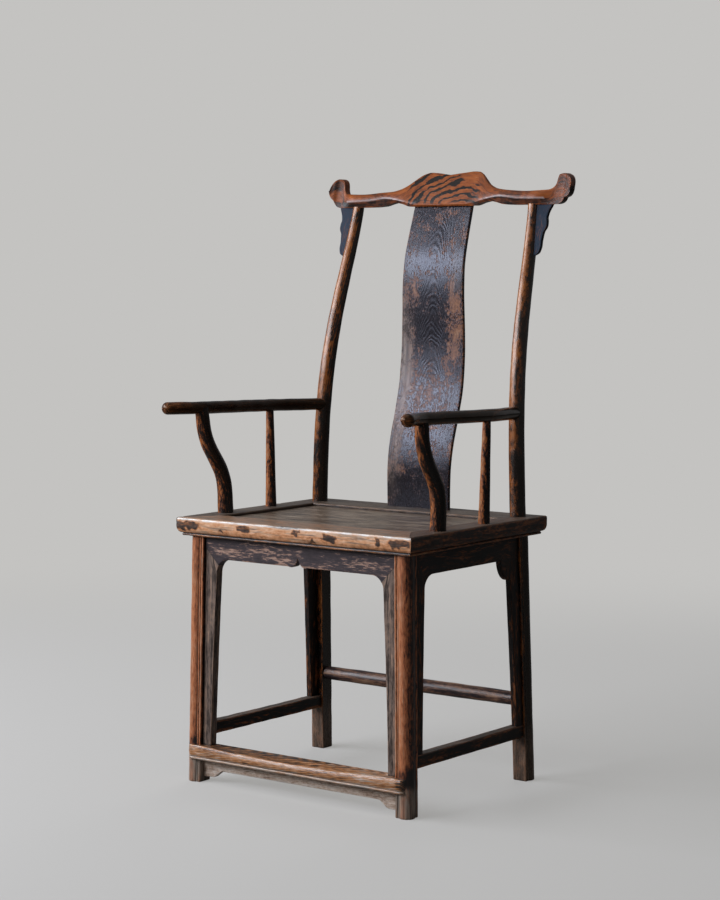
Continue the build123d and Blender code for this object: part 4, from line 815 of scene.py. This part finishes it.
for which, node, slot, finish, topWear, edgeWear in (
        ("front", "seat_front_rail", "worn_lacquer", seatEdge, 0.6, 0.0),
        ("rear", "seat_rear_rail", "rubbed_elm", railElm, 0.55, 0.48),
        ("right", "right_seat_side_rail", "dark_lacquer", sideEdge, 0.55, 0.46),
        ("left", "left_seat_side_rail", "rubbed_elm", railElm, 0.55, 0.48)):
    seed = 60 + len(which)
    skin = dented(weathered(railSkin(which), 0.2, 60, seed), seat["dent"], seat["dentSize"], seed + 5)
    z = skin[..., 2]
    onTop = z > chair["seatTop"] - 1.5
    if which == "front":
        patches = [((x, -253, height), (long, 12, high), seat["patchLacquer"])
                   for x, height, long, high in seat["patches"]]
        # Wear with painted light and shade: the front face is paler up its height, with a highlight near the
        # top arris, and darker down the draw and the bead
        edgeWear = np.interp(z, *seat["edgeWear"]) + blots(skin, patches, 4.0, 5)
    # The upper arris of the front edge is painted pale in places: partly rubbed wood, partly a painted
    # highlight
    ridge = np.exp(-((z - chair["seatTop"] + seat["ridgeDrop"]) / seat["ridgeHeight"]) ** 2)
    ridge *= np.abs(skin[..., 1] - chair["seatFront"]) < 6
    ridge = ridge * seat["ridgeRubAndHighlight"] * (0.6 + 0.7 * waviness(skin, 30, seed + 7))
    wear = np.where(onTop, topWear, edgeWear) + ridge
    across, along, shift = (1, 0, 300) if which in ("front", "rear") else (0, 1, 700)
    board = (skin[..., across] + z - shift, skin[..., along])
    film = onTop * seat["filmOnTop"]
    settle(surface(f"{which}SeatRail", skin, wear, 0.3, 0.0, 2.0, seams=0.7, board=board, film=film),
           finish, slot, node)

panelTop = chair["seatTop"] - seat["panelDrop"]
x = np.linspace(-1, 1, 120) * (chair["innerRight"] - 0.3)
panelSkin = plate(line(x, chair["innerFront"] + 0.3), line(x, chair["innerRear"] - 0.3),
                  lambda a, b, depth: grid(a, b, panelTop - depth), seat["panelThick"], 1.0, 60)
panelSkin[..., 2] += waviness(panelSkin * [0.2, 1, 0], 55, 71) * 0.35

batten = {"spacing": 95.0, "width": 30.0, "thick": 13.0}
y = np.linspace(chair["innerFront"] + 0.2, chair["innerRear"] - 0.2, 60)[:, None]
box = roundedBox(batten["width"], batten["thick"], 1.5, 52)
middle = panelTop - seat["panelThick"] - batten["thick"] / 2
battenSkin = grid(batten["spacing"] + box[:, 0], y, middle + box[:, 1])
for side, seed in (("right", 75), ("left", 76)):
    settle(surface(f"{side}Batten", weathered(onHand(side, battenSkin), 0.2, 40, seed), 0.55, 0.2),
           stripElm, "rubbed_elm", f"{side}_seat_batten")
settle(surface("seatPanel", panelSkin, 0.5, 0.2, board=(panelSkin[..., 1] + 37, panelSkin[..., 0])),
       panelElm, "rubbed_elm", "seat_panel")
print("seat ready")


# Arms and their posts. The arm's plan is its middle line from the rear post to the free end, and
# the gooseneck goes forward by its share of the sweep at each share of its rise.
arm = {"width": 26.0, "height": 24.5, "endRound": 10.0, "backHeight": 720.5, "climb": 12.0,
       "planY": (152.5, 98.0, 48.0, 12.0, -52.0, -122.0, -192.0, -225.0, -252.0, -278.5),
       "planX": (238.0, 251.0, 261.5, 266.2, 268.0, 267.0, 267.6, 273.5, 282.0, 292.5),
       "wear": 0.4, "wearEnd": 0.12}
gooseneck = {"radius": 15.4, "topRadius": 13.2, "x": 258.5, "y": -135.1, "sweep": 60.5, "spread": 7.5,
             "rise": (0, 0.12, 0.24, 0.38, 0.525, 0.67, 0.81, 1),
             "forward": (0, 0, 0.015, 0.12, 0.44, 0.77, 0.935, 1)}
sidePost = {"radius": 11.1, "topRadius": 7.7, "x": 262.2, "y": 8.7, "spread": 4.0, "lean": 3.0}


def armHeight(y):
    return arm["backHeight"] + arm["climb"] * (arm["planY"][0] - y) / (arm["planY"][0] - arm["planY"][-1])


def tube(path, sideRadius, upRadius, level, count=44):
    # Ellipses square to the path; their first axis is kept square to the level direction.
    tangent = np.gradient(path, axis=0)
    tangent /= np.linalg.norm(tangent, axis=1, keepdims=True)
    first = np.cross(tangent, level)
    first /= np.linalg.norm(first, axis=1, keepdims=True)
    second = np.cross(first, tangent)
    angles = np.linspace(0, 2 * math.pi, count, endpoint=False)[None, :, None]
    aside = first[:, None] * np.cos(angles) * np.reshape(sideRadius, (-1, 1, 1))
    return path[:, None] + aside + second[:, None] * np.sin(angles) * np.reshape(upRadius, (-1, 1, 1))


def armSkin():
    # A round bar along the plan, drawn in to a blunt tip at its free end.
    a = arm
    back, tip = a["planY"][0], a["planY"][-1]
    last = 0.955 + 0.045 * np.sin(np.linspace(0, math.pi / 2, 14))[1:]
    y = back + (tip - back) * np.concatenate([np.linspace(0, 0.955, 120), last])
    path = line(curve(-y, -np.array(a["planY"]), a["planX"]), y, armHeight(y))
    left = (y - tip) * 1.08
    shrink = np.sqrt(np.clip(1 - (1 - np.clip(left / a["endRound"], 0, 1)) ** 2, 0.0005, 1))
    return tube(path, *(a[k] / 2 * (0.12 + 0.88 * shrink) for k in ("width", "height")), [0, 0, 1])


def postHeights(y, share):
    # From just inside the seat up to the middle of the arm.
    return chair["seatTop"] - 1 + (armHeight(y) - chair["seatTop"] + 1) * share


def gooseneckSkin():
    g = gooseneck
    share = np.linspace(0, 1, 110)
    forward = smoothed(curve(share, g["rise"], g["forward"]), 40)
    z = postHeights(g["y"] - g["sweep"], share)
    path = line(g["x"] + g["spread"] * share, g["y"] - g["sweep"] * forward, z)
    radius = g["radius"] + (g["topRadius"] - g["radius"]) * share
    return tube(path, radius, radius, [1, 0, 0])


def sidePostSkin():
    p = sidePost
    share = np.linspace(0, 1, 80)
    path = line(p["x"] + p["spread"] * share, p["y"] + p["lean"] * share, postHeights(p["y"], share))
    radius = p["radius"] + (p["topRadius"] - p["radius"]) * share**0.9
    return tube(path, radius, radius, [1, 0, 0], 36)


# Facing, the number after the arris wear, paints the side turned to the window lamp paler and the far side
# darker: painted light and shade
for side, seed in (("right", 80), ("left", 90)):
    skin = weathered(onHand(side, armSkin()), 0.3, 50, seed)
    wear = arm["wear"] + arm["wearEnd"] * between(skin[..., 1], -200, -260)
    settle(surface(f"{side}ArmRail", skin, wear, 0.1, 0.03), armLacquer, "brown_lacquer", f"{side}_arm_rail")
    for label, node, shape, wear, facing in (("GooseneckPost", "gooseneck_post", gooseneckSkin, 0.38, 0.2),
                                             ("SidePost", "side_post", sidePostSkin, 0.44, 0.24)):
        seed += 1
        settle(surface(f"{side}{label}", weathered(onHand(side, shape()), 0.3, 40, seed), wear, 0.1, facing),
               postLacquer, "brown_lacquer", f"{side}_{node}")
print("arms ready")


# Splat: an S-curved board. It travels back by its share at each share of its rise. The blots are
# centre, half sizes and amount; where it was rubbed, a grey film lies on it.
splat = {"footY": 152.9, "headY": 242.1, "thick": 8.0, "arris": 2.4,
         "rise": (0, 0.116, 0.215, 0.315, 0.43, 0.563, 0.712, 0.811, 0.894, 1),
         "travel": (0, 0.003, 0.106, 0.319, 0.51, 0.574, 0.564, 0.612, 0.767, 1),
         "halfAt": (0, 0.38, 0.7, 0.85, 1), "half": (76.2, 78.3, 75.1, 73.5, 71.2), "wear": 0.45,
         "blots": (((-5, 230, 1070), (70, 60, 60), -0.02), ((52, 200, 890), (18, 60, 85), 0.16),
                   ((-54, 200, 945), (18, 60, 28), 0.14), ((0, 200, 900), (38, 60, 70), -0.12),
                   ((-62, 180, 720), (14, 60, 160), 0.14), ((-30, 180, 740), (30, 60, 60), 0.06),
                   ((20, 180, 730), (30, 60, 50), 0.05), ((0, 150, 550), (90, 60, 32), -0.16)),
         "rubbed": (((-62, 180, 730), (16, 90, 150), 0.75), ((-68, 180, 860), (8, 90, 90), 0.5),
                    ((60, 200, 990), (14, 90, 40), 0.3))}


def splatSkin():
    # A plate whose rows follow the S, each set off square to the curve by its depth.
    s = splat
    share = np.linspace(0, 1, 220)
    travel = smoothed(curve(share, s["rise"], s["travel"]), 60)
    z = chair["seatTop"] - 1 + (chair["crestBottom"] - chair["seatTop"] + 3) * share
    y = s["footY"] + (s["headY"] - s["footY"]) * travel
    half = curve(share, s["halfAt"], s["half"])
    slope = np.gradient(y, z)
    norm = np.sqrt(1 + slope**2)
    rows = np.arange(220.0)

    def place(a, b, depth):
        row = np.clip(b.round().astype(int), 0, 219)
        return grid(a, y[row] + depth / norm[row], z[row] - depth * slope[row] / norm[row])

    return plate(line(-half, rows), line(half, rows), place, s["thick"], s["arris"], 48)


skin = weathered(splatSkin(), 0.15, 60, 101)
wear, rubbed = splat["wear"] + blots(skin, splat["blots"], 6.0), blots(skin, splat["rubbed"], 3.0)
settle(surface("backSplat", skin, wear, 0.25, board=(skin[..., 0], skin[..., 2]), film=rubbed),
       splatLacquer, "dark_lacquer", "back_splat")
print("splat ready")


# Crest rail: a plain round-backed rail that swells into the pillow and ends in upturned knobs. Its
# top, underside and crease are heights over its foot at places off the middle, with a top and an
# underside of its own for the left half. Rows are runs of sections: from, to and how many.
crest = {
    "y": 246.1, "under": 1124.15, "depth": 27.0, "knobDepth": 17.0,
    "topX": (0, 35, 58, 70, 80, 92, 108, 130, 160, 205, 240, 250, 257, 262, 265, 266.8, 268.5, 279, 290.5,
             298, 302, 303.6),
    "topZ": (63.4, 67, 69.1, 68.2, 63.6, 54, 41.5, 33, 29.5, 27, 28, 28.8, 31.5, 36, 42, 53, 58.2, 60.2, 57.2,
             51.5, 43.5, 36),
    "leftX": (0, 35, 50, 63, 75, 87, 98, 111, 130, 160, 205, 240, 249, 254, 258, 261, 262.5, 266, 270,
              276, 283, 290.5, 298, 302, 303.6),
    "leftZ": (63.4, 68, 68.9, 66, 59.5, 50, 42, 36, 31.5, 29.5, 27, 28, 28.7, 31.5, 36, 43, 48, 54,
              57.3, 59.5, 60.2, 57.8, 51.5, 43.5, 36),
    "lowX": (0, 78, 100, 116, 132, 150, 175, 270, 278, 284, 287, 289, 295, 300, 303, 303.6),
    "lowZ": (0, 0, 6, 8.5, 6, 1.6, 0, 0, 1.5, 5, 9, 12.5, 15, 20, 28, 34),
    "leftLowX": (262, 267, 272, 278.8, 284, 287.5, 291, 294.4, 298, 301.5, 303.2, 303.6),
    "leftLowZ": (0, 0.3, 1.2, 3.7, 8.5, 13, 17, 19, 21.5, 26, 31, 34.5),
    "creaseX": (0, 60, 76, 92, 115, 140, 190, 262, 275, 284, 303.6),
    "creaseZ": (3, 3.5, 6, 10, 15, 18, 13, 12, 13.5, 16, 34.5),
    "rows": ((0, 60, 60), (61, 130, 90), (132, 254, 90), (255, 272, 60), (272.6, 301, 54)),
    "lean": 0.66, "stillHeight": 28.0, "humpHalf": 200, "knobGrows": (222, 266), "knobLean": 0.285,
    "knobBack": 2.5, "arris": 1.6, "reach": 303.6, "leftShare": 0.81, "knobFrom": 250.0, "hollow": 0.12,
    "wear": 0.6, "shadeBelow": 0.2, "pillowHalf": (92, 80), "pillowFoot": (1128, 1134),
    "pillowCut": ((10, 52), (1204, 1169)),
    "blots": (((-278, 250, 1170), (17, 60, 14), -0.16), ((-262, 250, 1140), (26, 60, 12), -0.1),
              ((283, 250, 1165), (20, 60, 24), -0.08), ((-150, 250, 1145), (50, 60, 6), -0.12),
              ((140, 250, 1146), (70, 60, 5), -0.12)),
}


def crestSkin():
    # Each row is a section at one x: lower face up to the crease, upper face, then over the top to the
    # back. Shares run from the front (0) to the back (1) and from the underside (0) to the top (1).
    c = crest
    tip = c["reach"] - 2.6 * (1 - np.sin(np.linspace(0.15, math.pi / 2, 12)))
    mid = np.concatenate([*(np.linspace(*run) for run in c["rows"]), tip])
    x = np.concatenate([-mid[:0:-1], mid])[:, None]
    a = np.abs(x)
    top, low, crease = (curve(a, c[k + "X"], c[k + "Z"]) for k in ("top", "low", "crease"))
    top = np.where(x < 0, curve(a, c["leftX"], c["leftZ"]), top)
    low = np.where(x < -c["leftLowX"][0], curve(a, c["leftLowX"], c["leftLowZ"]), low)
    hump = np.clip(top - c["stillHeight"], 0, None) * (a < c["humpHalf"])
    knob = between(a, *c["knobGrows"])
    knob = knob * knob * (3 - 2 * knob)
    thick = c["depth"] * (1 - knob) + c["knobDepth"] * knob
    height = np.maximum(top - low, 1.0)
    lean = c["lean"] * hump / height + c["knobLean"] * knob
    creaseShare = np.clip((crease - low) / height, 0.03, 0.85)
    edge, rim = np.minimum(c["arris"] / height, 0.3), c["arris"] / thick
    t = np.linspace(0, 1, 8)[None]
    lower = (0.13 * (1 - t) * (1 - knob) + 0.05 * (1 - t)**4 * knob, creaseShare * t)
    # Rounded rail: the upper face slopes back and turns over into the top. Knob: a flat face with
    # a small arris at its rim.
    t = np.linspace(0.06, 1, 20)[None]
    turn = t * math.pi / 2
    straight = np.clip(t / 0.8, 0, 1)
    over = np.clip((t - 0.8) / 0.2, 0, 1) * math.pi / 2
    roundFace = (0.42 * (1 - np.cos(turn)) + 0.02 * t, creaseShare + (1 - creaseShare) * np.sin(turn) ** 0.9)
    flatFace = (rim * (1 - np.cos(over)),
                creaseShare + (1 - creaseShare - edge) * straight + edge * np.sin(over))
    roundTop = (0.44 + 0.56 * np.sin(turn), 1 - (1 - np.cos(turn)) * 0.42)
    flatTop = (rim + (1 - 2 * rim) * straight + rim * np.sin(over), 1 - edge * (1 - np.cos(over)))
    upper, crown = ([r * (1 - knob) + f * knob for r, f in zip(rounded, flat)]
                    for rounded, flat in ((roundFace, flatFace), (roundTop, flatTop)))
    t = np.linspace(0.12, 1, 8)[None]
    fall = (1 - 0.1 * t**2 * (1 - knob), crown[1][:, -1:] * (1 - t))
    t = np.linspace(0, 1, 8)[None, 1:-1]
    start, stop = fall[0][:, -1:], lower[0][:, :1]
    floor = (start + (stop - start) * t, 0 * start * t)
    front, up = (np.hstack(parts) for parts in zip(lower, upper, crown, fall, floor))
    z = c["under"] + low + up * height
    y = (c["y"] + c["knobBack"] * knob - thick / 2) + front * thick + lean * up * height
    # The hump's back is hollowed to follow its face
    y -= np.clip(front - 0.5, 0, 1) * 2 * np.clip(0.75 - up, 0, 1) * hump * c["hollow"]
    # The left knob was carved a little narrower
    x = np.where(x < -c["knobFrom"], (x + c["knobFrom"]) * c["leftShare"] - c["knobFrom"], x)
    return grid(x, y, z)


skin = weathered(crestSkin(), 0.2, 50, 111)
reach, z = np.abs(skin[..., 0]), skin[..., 2]
belowCrease = crest["under"] + curve(reach, crest["creaseX"], crest["creaseZ"]) - z
# Painted shade under the crease, where the lower face turns down, and a painted highlight, a pale line, along
# it;
# the figure is on the pillow, but for its upper right
shaded = between(belowCrease, -1, 2) * between(reach, 70, 85)
glint = np.exp(-((belowCrease + 0.7) / 1.2) ** 2) * between(reach, 84, 109) * between(reach, 285, 279)
glint *= skin[..., 1] < crest["y"] - 8
pillow = between(reach, *crest["pillowHalf"]) * between(z, *crest["pillowFoot"])
pillow *= between(z - np.interp(skin[..., 0], *crest["pillowCut"]), 0, -6)
wear = crest["wear"] - crest["shadeBelow"] * shaded + blots(skin, crest["blots"], 5.0)
# Facing 0.05 paints the side turned to the window lamp a little paler and the far side darker: painted light
# and shade
settle(surface("crestRail", skin, wear, 0.15, 0.05, 3.0, figure=pillow, film=glint * 0.95),
       crestElm, "worn_lacquer", "crest_rail")
print("crest ready")


# Spandrels: thin boards with a curled outer edge, in the angle of post and crest. The edge is given
# as its reach past the post's top at each drop below the crest; squeeze shortens the drops.
spandrel = {"height": 101.0, "thick": 8.0, "squeeze": 0.964,
            "drop": (0, 6, 11.5, 19, 27, 34.5, 42, 49, 52, 56, 66, 75, 85, 91, 97.5, 101.5, 103.4),
            "reach": (35.5, 33, 30.5, 28, 26.8, 28.6, 29, 27.4, 25.5, 23.6, 22.3, 21.6, 22, 21, 18.8, 14,
                      9.5)}


def spandrelSkin():
    # A plate from inside the post to the curled edge; it leans back with the post.
    s = spandrel
    drop = np.concatenate([np.linspace(-0.1, 98, 90), np.linspace(98.6, 103.3, 16)])
    z = chair["crestBottom"] - drop * s["squeeze"]
    edgeX = postCentre(z)[0] + postRadius(z) - 1.5
    topX, topY = postCentre(np.array([chair["crestBottom"]]))
    outX = topX + backPost["topRadius"] + curve(drop, s["drop"], s["reach"]) - 1
    rows = np.arange(len(z), dtype=float)
    slope = (topY - postCentre(np.array([chair["crestBottom"] - s["height"]]))[1]) / s["height"]

    def place(a, b, depth):
        level = z[np.clip(b.round().astype(int), 0, len(z) - 1)]
        back = topY - slope * (chair["crestBottom"] - level) - s["thick"] / 2
        return grid(a, back + depth, level)

    return plate(line(edgeX, rows), line(np.maximum(outX, edgeX + 3), rows), place, s["thick"], 1.0, 14)


for side, seed in (("right", 120), ("left", 121)):
    settle(surface(f"{side}Spandrel", weathered(onHand(side, spandrelSkin()), 0.12, 25, seed), 0.42, 0.25),
           spandrelLacquer, "dark_lacquer", f"{side}_spandrel")
print("spandrels ready")


# Footrest: a thick nosed board let round the front legs, worn hollow by feet
footrest = {"top": apronFrame["footTop"], "under": 46.5, "front": 22.0, "back": 16.0, "end": 6.5,
            "corner": 9.0, "bead": 2.7, "nose": 5.0, "wear": 9.0, "wearHalf": 215.0, "wearDepth": 17.0,
            "bare": 0.57, "darkTop": 0.16, "blots": (((262, -250, 62), (16, 30, 14), -0.25),)}


def footrestSkin():
    # Sections along X: a bead and a rounded nose in front, then the flat top and the back. Beyond
    # the inner faces of the legs the board ends at their fronts.
    f = footrest
    midZ = (f["top"] + f["under"]) / 2
    legMid, legY = legX(midZ), frontLegY(midZ)
    half = legMid + f["end"]
    inner = legMid - leg["blockIn"]
    tip = half - f["corner"] + f["corner"] * np.sin(np.linspace(0.1, math.pi / 2 * 0.97, 12))
    mid = np.concatenate([np.linspace(0, inner - 2, 90), np.linspace(inner - 0.4, inner + 0.6, 4),
                          np.linspace(inner + 2, half - f["corner"], 10), tip])
    x = np.concatenate([-mid[:0:-1], mid])[:, None]
    a = np.abs(x)
    cornerOff = np.clip((a - (half - f["corner"])) / f["corner"], 0, 1)
    yFront = legY - f["front"] + f["corner"] * (1 - np.sqrt(1 - cornerOff**2))
    roundFront = legY - np.sqrt(np.clip(leg["radius"]**2 - (a - legMid)**2, 0, None))
    flatEnd = legMid - math.sqrt(leg["radius"]**2 - leg["blockOut"]**2)
    legFront = np.where(a < flatEnd, legY - leg["blockOut"], roundFront)
    depth = np.where(a < inner, legY + f["back"], legFront + 0.6) - yFront

    b = f["bead"]
    lowFace = f["under"] + 2 * b + 0.6
    faceRise = np.linspace(0, 1, 14)
    bulge = f["nose"] * (1 - np.sqrt(np.clip(1 - ((faceRise - 0.55) / 0.62) ** 2, 0, 1)))
    face = line(bulge + 0.2, lowFace + (f["top"] - 2.2 - lowFace) * faceRise)
    last = face[-1, 0]
    profile = np.vstack([arc(b, f["under"] + b, b, 268, 95, 10), [[b + 1.0, lowFace]], face,
                         [[last + 0.8, f["top"] - 0.7], [last + 2.4, f["top"]]]])
    start, topRun = profile[-1, 0], np.linspace(0, 1, 26)[1:]
    onTop = np.minimum(start, depth) + topRun * np.maximum(depth - start, 0)
    offset = np.hstack([np.minimum(profile[:, 0], depth), onTop, np.repeat(depth, 3, axis=1)])
    z = np.concatenate([profile[:, 1], np.full(25, f["top"]), [f["top"] - 9, f["top"] - 18, f["under"]]])
    # Feet wore the front of the top away, most in the middle
    share = np.clip(1 - (x / f["wearHalf"])**2, 0, 1)
    fade = np.clip(1 - offset / f["wearDepth"], 0, 1) ** 1.3
    high = np.clip((z - lowFace) / (f["top"] - lowFace), 0, 1)
    return grid(x, yFront + offset, z - f["wear"] * share * fade * high)


# The underside drops to an ear at each end; earAt are places off the leg, in ear widths
footApron = {"height": 21.5, "thick": 10.0, "setback": 12.0, "ear": 14.5, "earWidth": 34.0,
             "earAt": (1.5, 1.36, 1.2, 1.0, 0.85, 0.65, 0)}


def footApronSkin():
    f, fr = footApron, footrest
    mid = fr["under"] - f["height"]
    low = mid - f["ear"]
    legMid = legFace(mid)
    spots = np.array([0, *(legMid - f["earWidth"] * np.array(f["earAt"]))])
    drops = np.array([mid, mid, mid - 0.6, mid - 3.5, (mid + low) / 2 - 1, low + 2.2, low + 0.4, low])
    half = np.concatenate([np.linspace(0, spots[1], 40), np.linspace(spots[1] + 1, legMid, 50)])
    x = np.concatenate([-half[:0:-1], half])
    y = frontLegY(fr["under"]) - leg["blockOut"] + f["setback"]
    return plate(line(x, curve(np.abs(x), spots, drops)), line(x, fr["under"] + 0.1),
                 lambda a, b, depth: grid(a, y + depth, b), f["thick"], 1.6, 10)


skin = weathered(footrestSkin(), 0.25, 45, 131)
x, z = skin[..., 0], skin[..., 2]
lowEdge = between(z, footrest["under"] + 9, footrest["under"] + 6)
tops = between(x, 110, -10) * between(z, 66, 71)
wear = footrest["bare"] - footrest["darkTop"] * tops + blots(skin, footrest["blots"], 3.0)
# Facing 0.05 paints the side turned to the window lamp a little paler and the far side darker: painted light
# and shade
settle(surface("footrest", skin, wear, 0.5, 0.05, 2.0, film=0.8 * lowEdge, board=(skin[..., 1] + z + 150, x)),
       footrestElm, "worn_lacquer", "footrest")
settle(surface("footrestApron", weathered(footApronSkin(), 0.2, 40, 132), 0.7, 0.15),
       footApronElm, "worn_lacquer", "footrest_apron")

# Stretchers: the sides' carry their strips, the rear one is round
stretcher = {"sideTop": apronFrame["sideFoot"], "sideHeight": 25.0, "sideWidth": 22.0, "arris": 2.0,
             "sag": 0.8, "rearHeight": 159.5, "rearRadius": 14.0, "rearTaper": 0.6}


def sideStretcherSkin():
    s = stretcher
    z = s["sideTop"] - s["sideHeight"] / 2
    y = np.linspace(frontLegY(z) + leg["blockIn"] - 1, rearLegY(z) - leg["blockIn"] + 1, 90)[:, None]
    across, up = roundedBox(s["sideWidth"], s["sideHeight"], s["arris"], 60).T
    sag = np.sin(np.linspace(0, math.pi, 90))[:, None] * s["sag"]
    return grid(legX(z) - chair["blockShift"] + across, y, z + up - sag * (up > 0))


def rearStretcherSkin():
    s = stretcher
    x = np.linspace(-1, 1, 110) * (legFace(s["rearHeight"]) + 1)
    path = line(x, rearLegY(s["rearHeight"]) - chair["blockShift"], s["rearHeight"])
    radius = s["rearRadius"] - s["rearTaper"] * (np.abs(x) / x[-1])**2
    return tube(path, radius, radius, [0, 0, 1], 48)


for side, seed in (("right", 140), ("left", 150)):
    skin = weathered(onHand(side, sideStretcherSkin()), 0.35, 45, seed)
    # The tops of the side stretchers get a pale grey film: partly their worn grey tops, partly painted light
    # for tops lit from above
    onTop = np.clip((skin[..., 2] - stretcher["sideTop"] + 3) / 2, 0, 1)
    settle(surface(f"{side}SideStretcher", skin, 0.46, 0.18, film=onTop * 0.6),
           sideLacquer, "dark_lacquer", f"{side}_side_stretcher")
settle(surface("rearStretcher", weathered(rearStretcherSkin(), 0.35, 50, 161), 0.47, 0.1),
       stretcherLacquer, "dark_lacquer", "rear_stretcher")
print("footrest and stretchers ready")


# Camera: in front and to the right of the chair, at the height of the back's upper third
view = {"place": (2.7272, -3.5600, 1.0250), "yaw": 37.7258, "pitch": 4.8152, "roll": -0.1713, "lens": 115.305}


def makeCamera():
    yaw, pitch, roll = (math.radians(view[k]) for k in ("yaw", "pitch", "roll"))
    forward = np.array([-math.sin(yaw) * math.cos(pitch), math.cos(yaw) * math.cos(pitch), -math.sin(pitch)])
    right = np.array([math.cos(yaw), math.sin(yaw), 0])
    up = np.cross(right, forward)
    across = math.cos(roll) * right + math.sin(roll) * up
    upright = math.cos(roll) * up - math.sin(roll) * right
    data = bpy.data.cameras.new("camera")
    data.sensor_fit = "HORIZONTAL"
    data.sensor_width = 36
    data.lens = view["lens"]
    obj = bpy.data.objects.new("camera", data)
    turn = np.stack([across, upright, -forward], axis=1)
    obj.matrix_world = Matrix.Translation(view["place"]) @ Matrix(turn.tolist()).to_4x4()
    bpy.context.collection.objects.link(obj)
    bpy.context.scene.camera = obj


# Studio, in metres. The floor glows in the colour seen, takes the lamps' light in the colour lit,
# throws less of it back, in the bounce colour, and fades into the backdrop between two distances.
# Lamps: name, place, target, width, height, power, tint, and whether shiny surfaces mirror them.
studio = {"halfWidth": 40.0, "seen": "#c0bfbd", "lit": "#8b8a88", "bounce": "#7d7a76", "glow": 0.58,
          "backdrop": "#c4c3c1", "fade": (1.1, 3.6), "sky": "#f2f5fa", "fill": 0.1, "fillGlossy": 0.22,
          "lamps": (("windowLight", (-2.5, -2.45, 2.0), (0, 0, 0.85), 4.4, 1.3, 200, "#f1f5ff"),
                    ("skyLight", (-0.6, -0.8, 3.6), (0, 0, 0.5), 2.6, 2.6, 24, "#ffffff"),
                    ("backLight", (-1.6, 3.8, 2.0), (0, 0, 0.8), 2.6, 1.8, 50, "#ffffff", False))}


def addLamp(name, place, target, width, height, power, tint, glossy=True):
    data = bpy.data.lights.new(name, "AREA")
    data.shape = "RECTANGLE"
    data.size, data.size_y = width, height
    data.energy = power
    data.color = linear(tint)[:3]
    lamp = bpy.data.objects.new(name, data)
    way = Vector(target) - Vector(place)
    lamp.matrix_world = Matrix.Translation(place) @ way.to_track_quat("-Z", "Y").to_matrix().to_4x4()
    lamp.visible_glossy = glossy
    bpy.context.collection.objects.link(lamp)


def makeStudio():
    # Pale floor that fades into a backdrop of one colour, the same from every side.
    half = studio["halfWidth"]
    mesh = bpy.data.meshes.new("floor")
    corners = [(-half, -half, 0), (half, -half, 0), (half, half, 0), (-half, half, 0)]
    mesh.from_pydata(corners, [], [(0, 1, 2, 3)])
    floor = bpy.data.objects.new("floor", mesh)
    bpy.context.collection.objects.link(floor)

    # Matt paint looks pale and keeps the shaded sides of the chair deep
    paint = bpy.data.materials.new("matt studio paint")
    paint.use_nodes = True
    tree = paint.node_tree
    shader = tree.nodes["Principled BSDF"]
    seen = addNode(tree, "LightPath", [])
    bounce, lit, sky, far = (linear(studio[k]) for k in ("bounce", "lit", "sky", "backdrop"))
    colour = addNode(tree, "Mix", {0: seen, 6: bounce, 7: lit}, 2, data_type="RGBA")
    tree.links.new(colour, shader.inputs["Base Color"])
    glow = addNode(tree, "Math", [seen, studio["glow"]], operation="MULTIPLY")
    tree.links.new(glow, shader.inputs["Emission Strength"])
    shader.inputs["Emission Color"].default_value = linear(studio["seen"])
    shader.inputs["Roughness"].default_value = 0.9
    shader.inputs["Specular IOR Level"].default_value = 0.1
    place = addNode(tree, "TexCoord", [], 3)
    reach = addNode(tree, "VectorMath", [place], 1, operation="LENGTH")
    fade = addNode(tree, "MapRange", [reach, *studio["fade"]], interpolation_type="SMOOTHERSTEP")
    fade = addNode(tree, "Math", [fade, seen], operation="MULTIPLY")
    backdrop = addNode(tree, "Emission", {"Color": far})
    shown = addNode(tree, "MixShader", [fade, shader.outputs["BSDF"], backdrop])
    tree.links.new(shown, tree.nodes["Material Output"].inputs["Surface"])
    mesh.materials.append(paint)

    world = bpy.data.worlds.new("studio")
    world.use_nodes = True
    tree = world.node_tree
    background = tree.nodes["Background"]
    seen = addNode(tree, "LightPath", [])
    inGloss = seen.node.outputs["Is Glossy Ray"]
    strength = addNode(tree, "MapRange", {"Value": inGloss, "To Min": studio["fill"],
                                          "To Max": studio["fillGlossy"]})
    strength = addNode(tree, "Mix", {0: seen, 2: strength, 3: 1.0}, data_type="FLOAT")
    tree.links.new(strength, background.inputs["Strength"])
    colour = addNode(tree, "Mix", {0: seen, 6: sky, 7: far}, 2, data_type="RGBA")
    tree.links.new(colour, background.inputs["Color"])
    bpy.context.scene.world = world
    for lamp in studio["lamps"]:
        addLamp(*lamp)


makeCamera()
makeStudio()
bpy.context.scene.view_settings.view_transform = "Standard"
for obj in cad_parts.values():
    obj.data.materials.clear()
    obj.data.materials.append(sideLacquer)
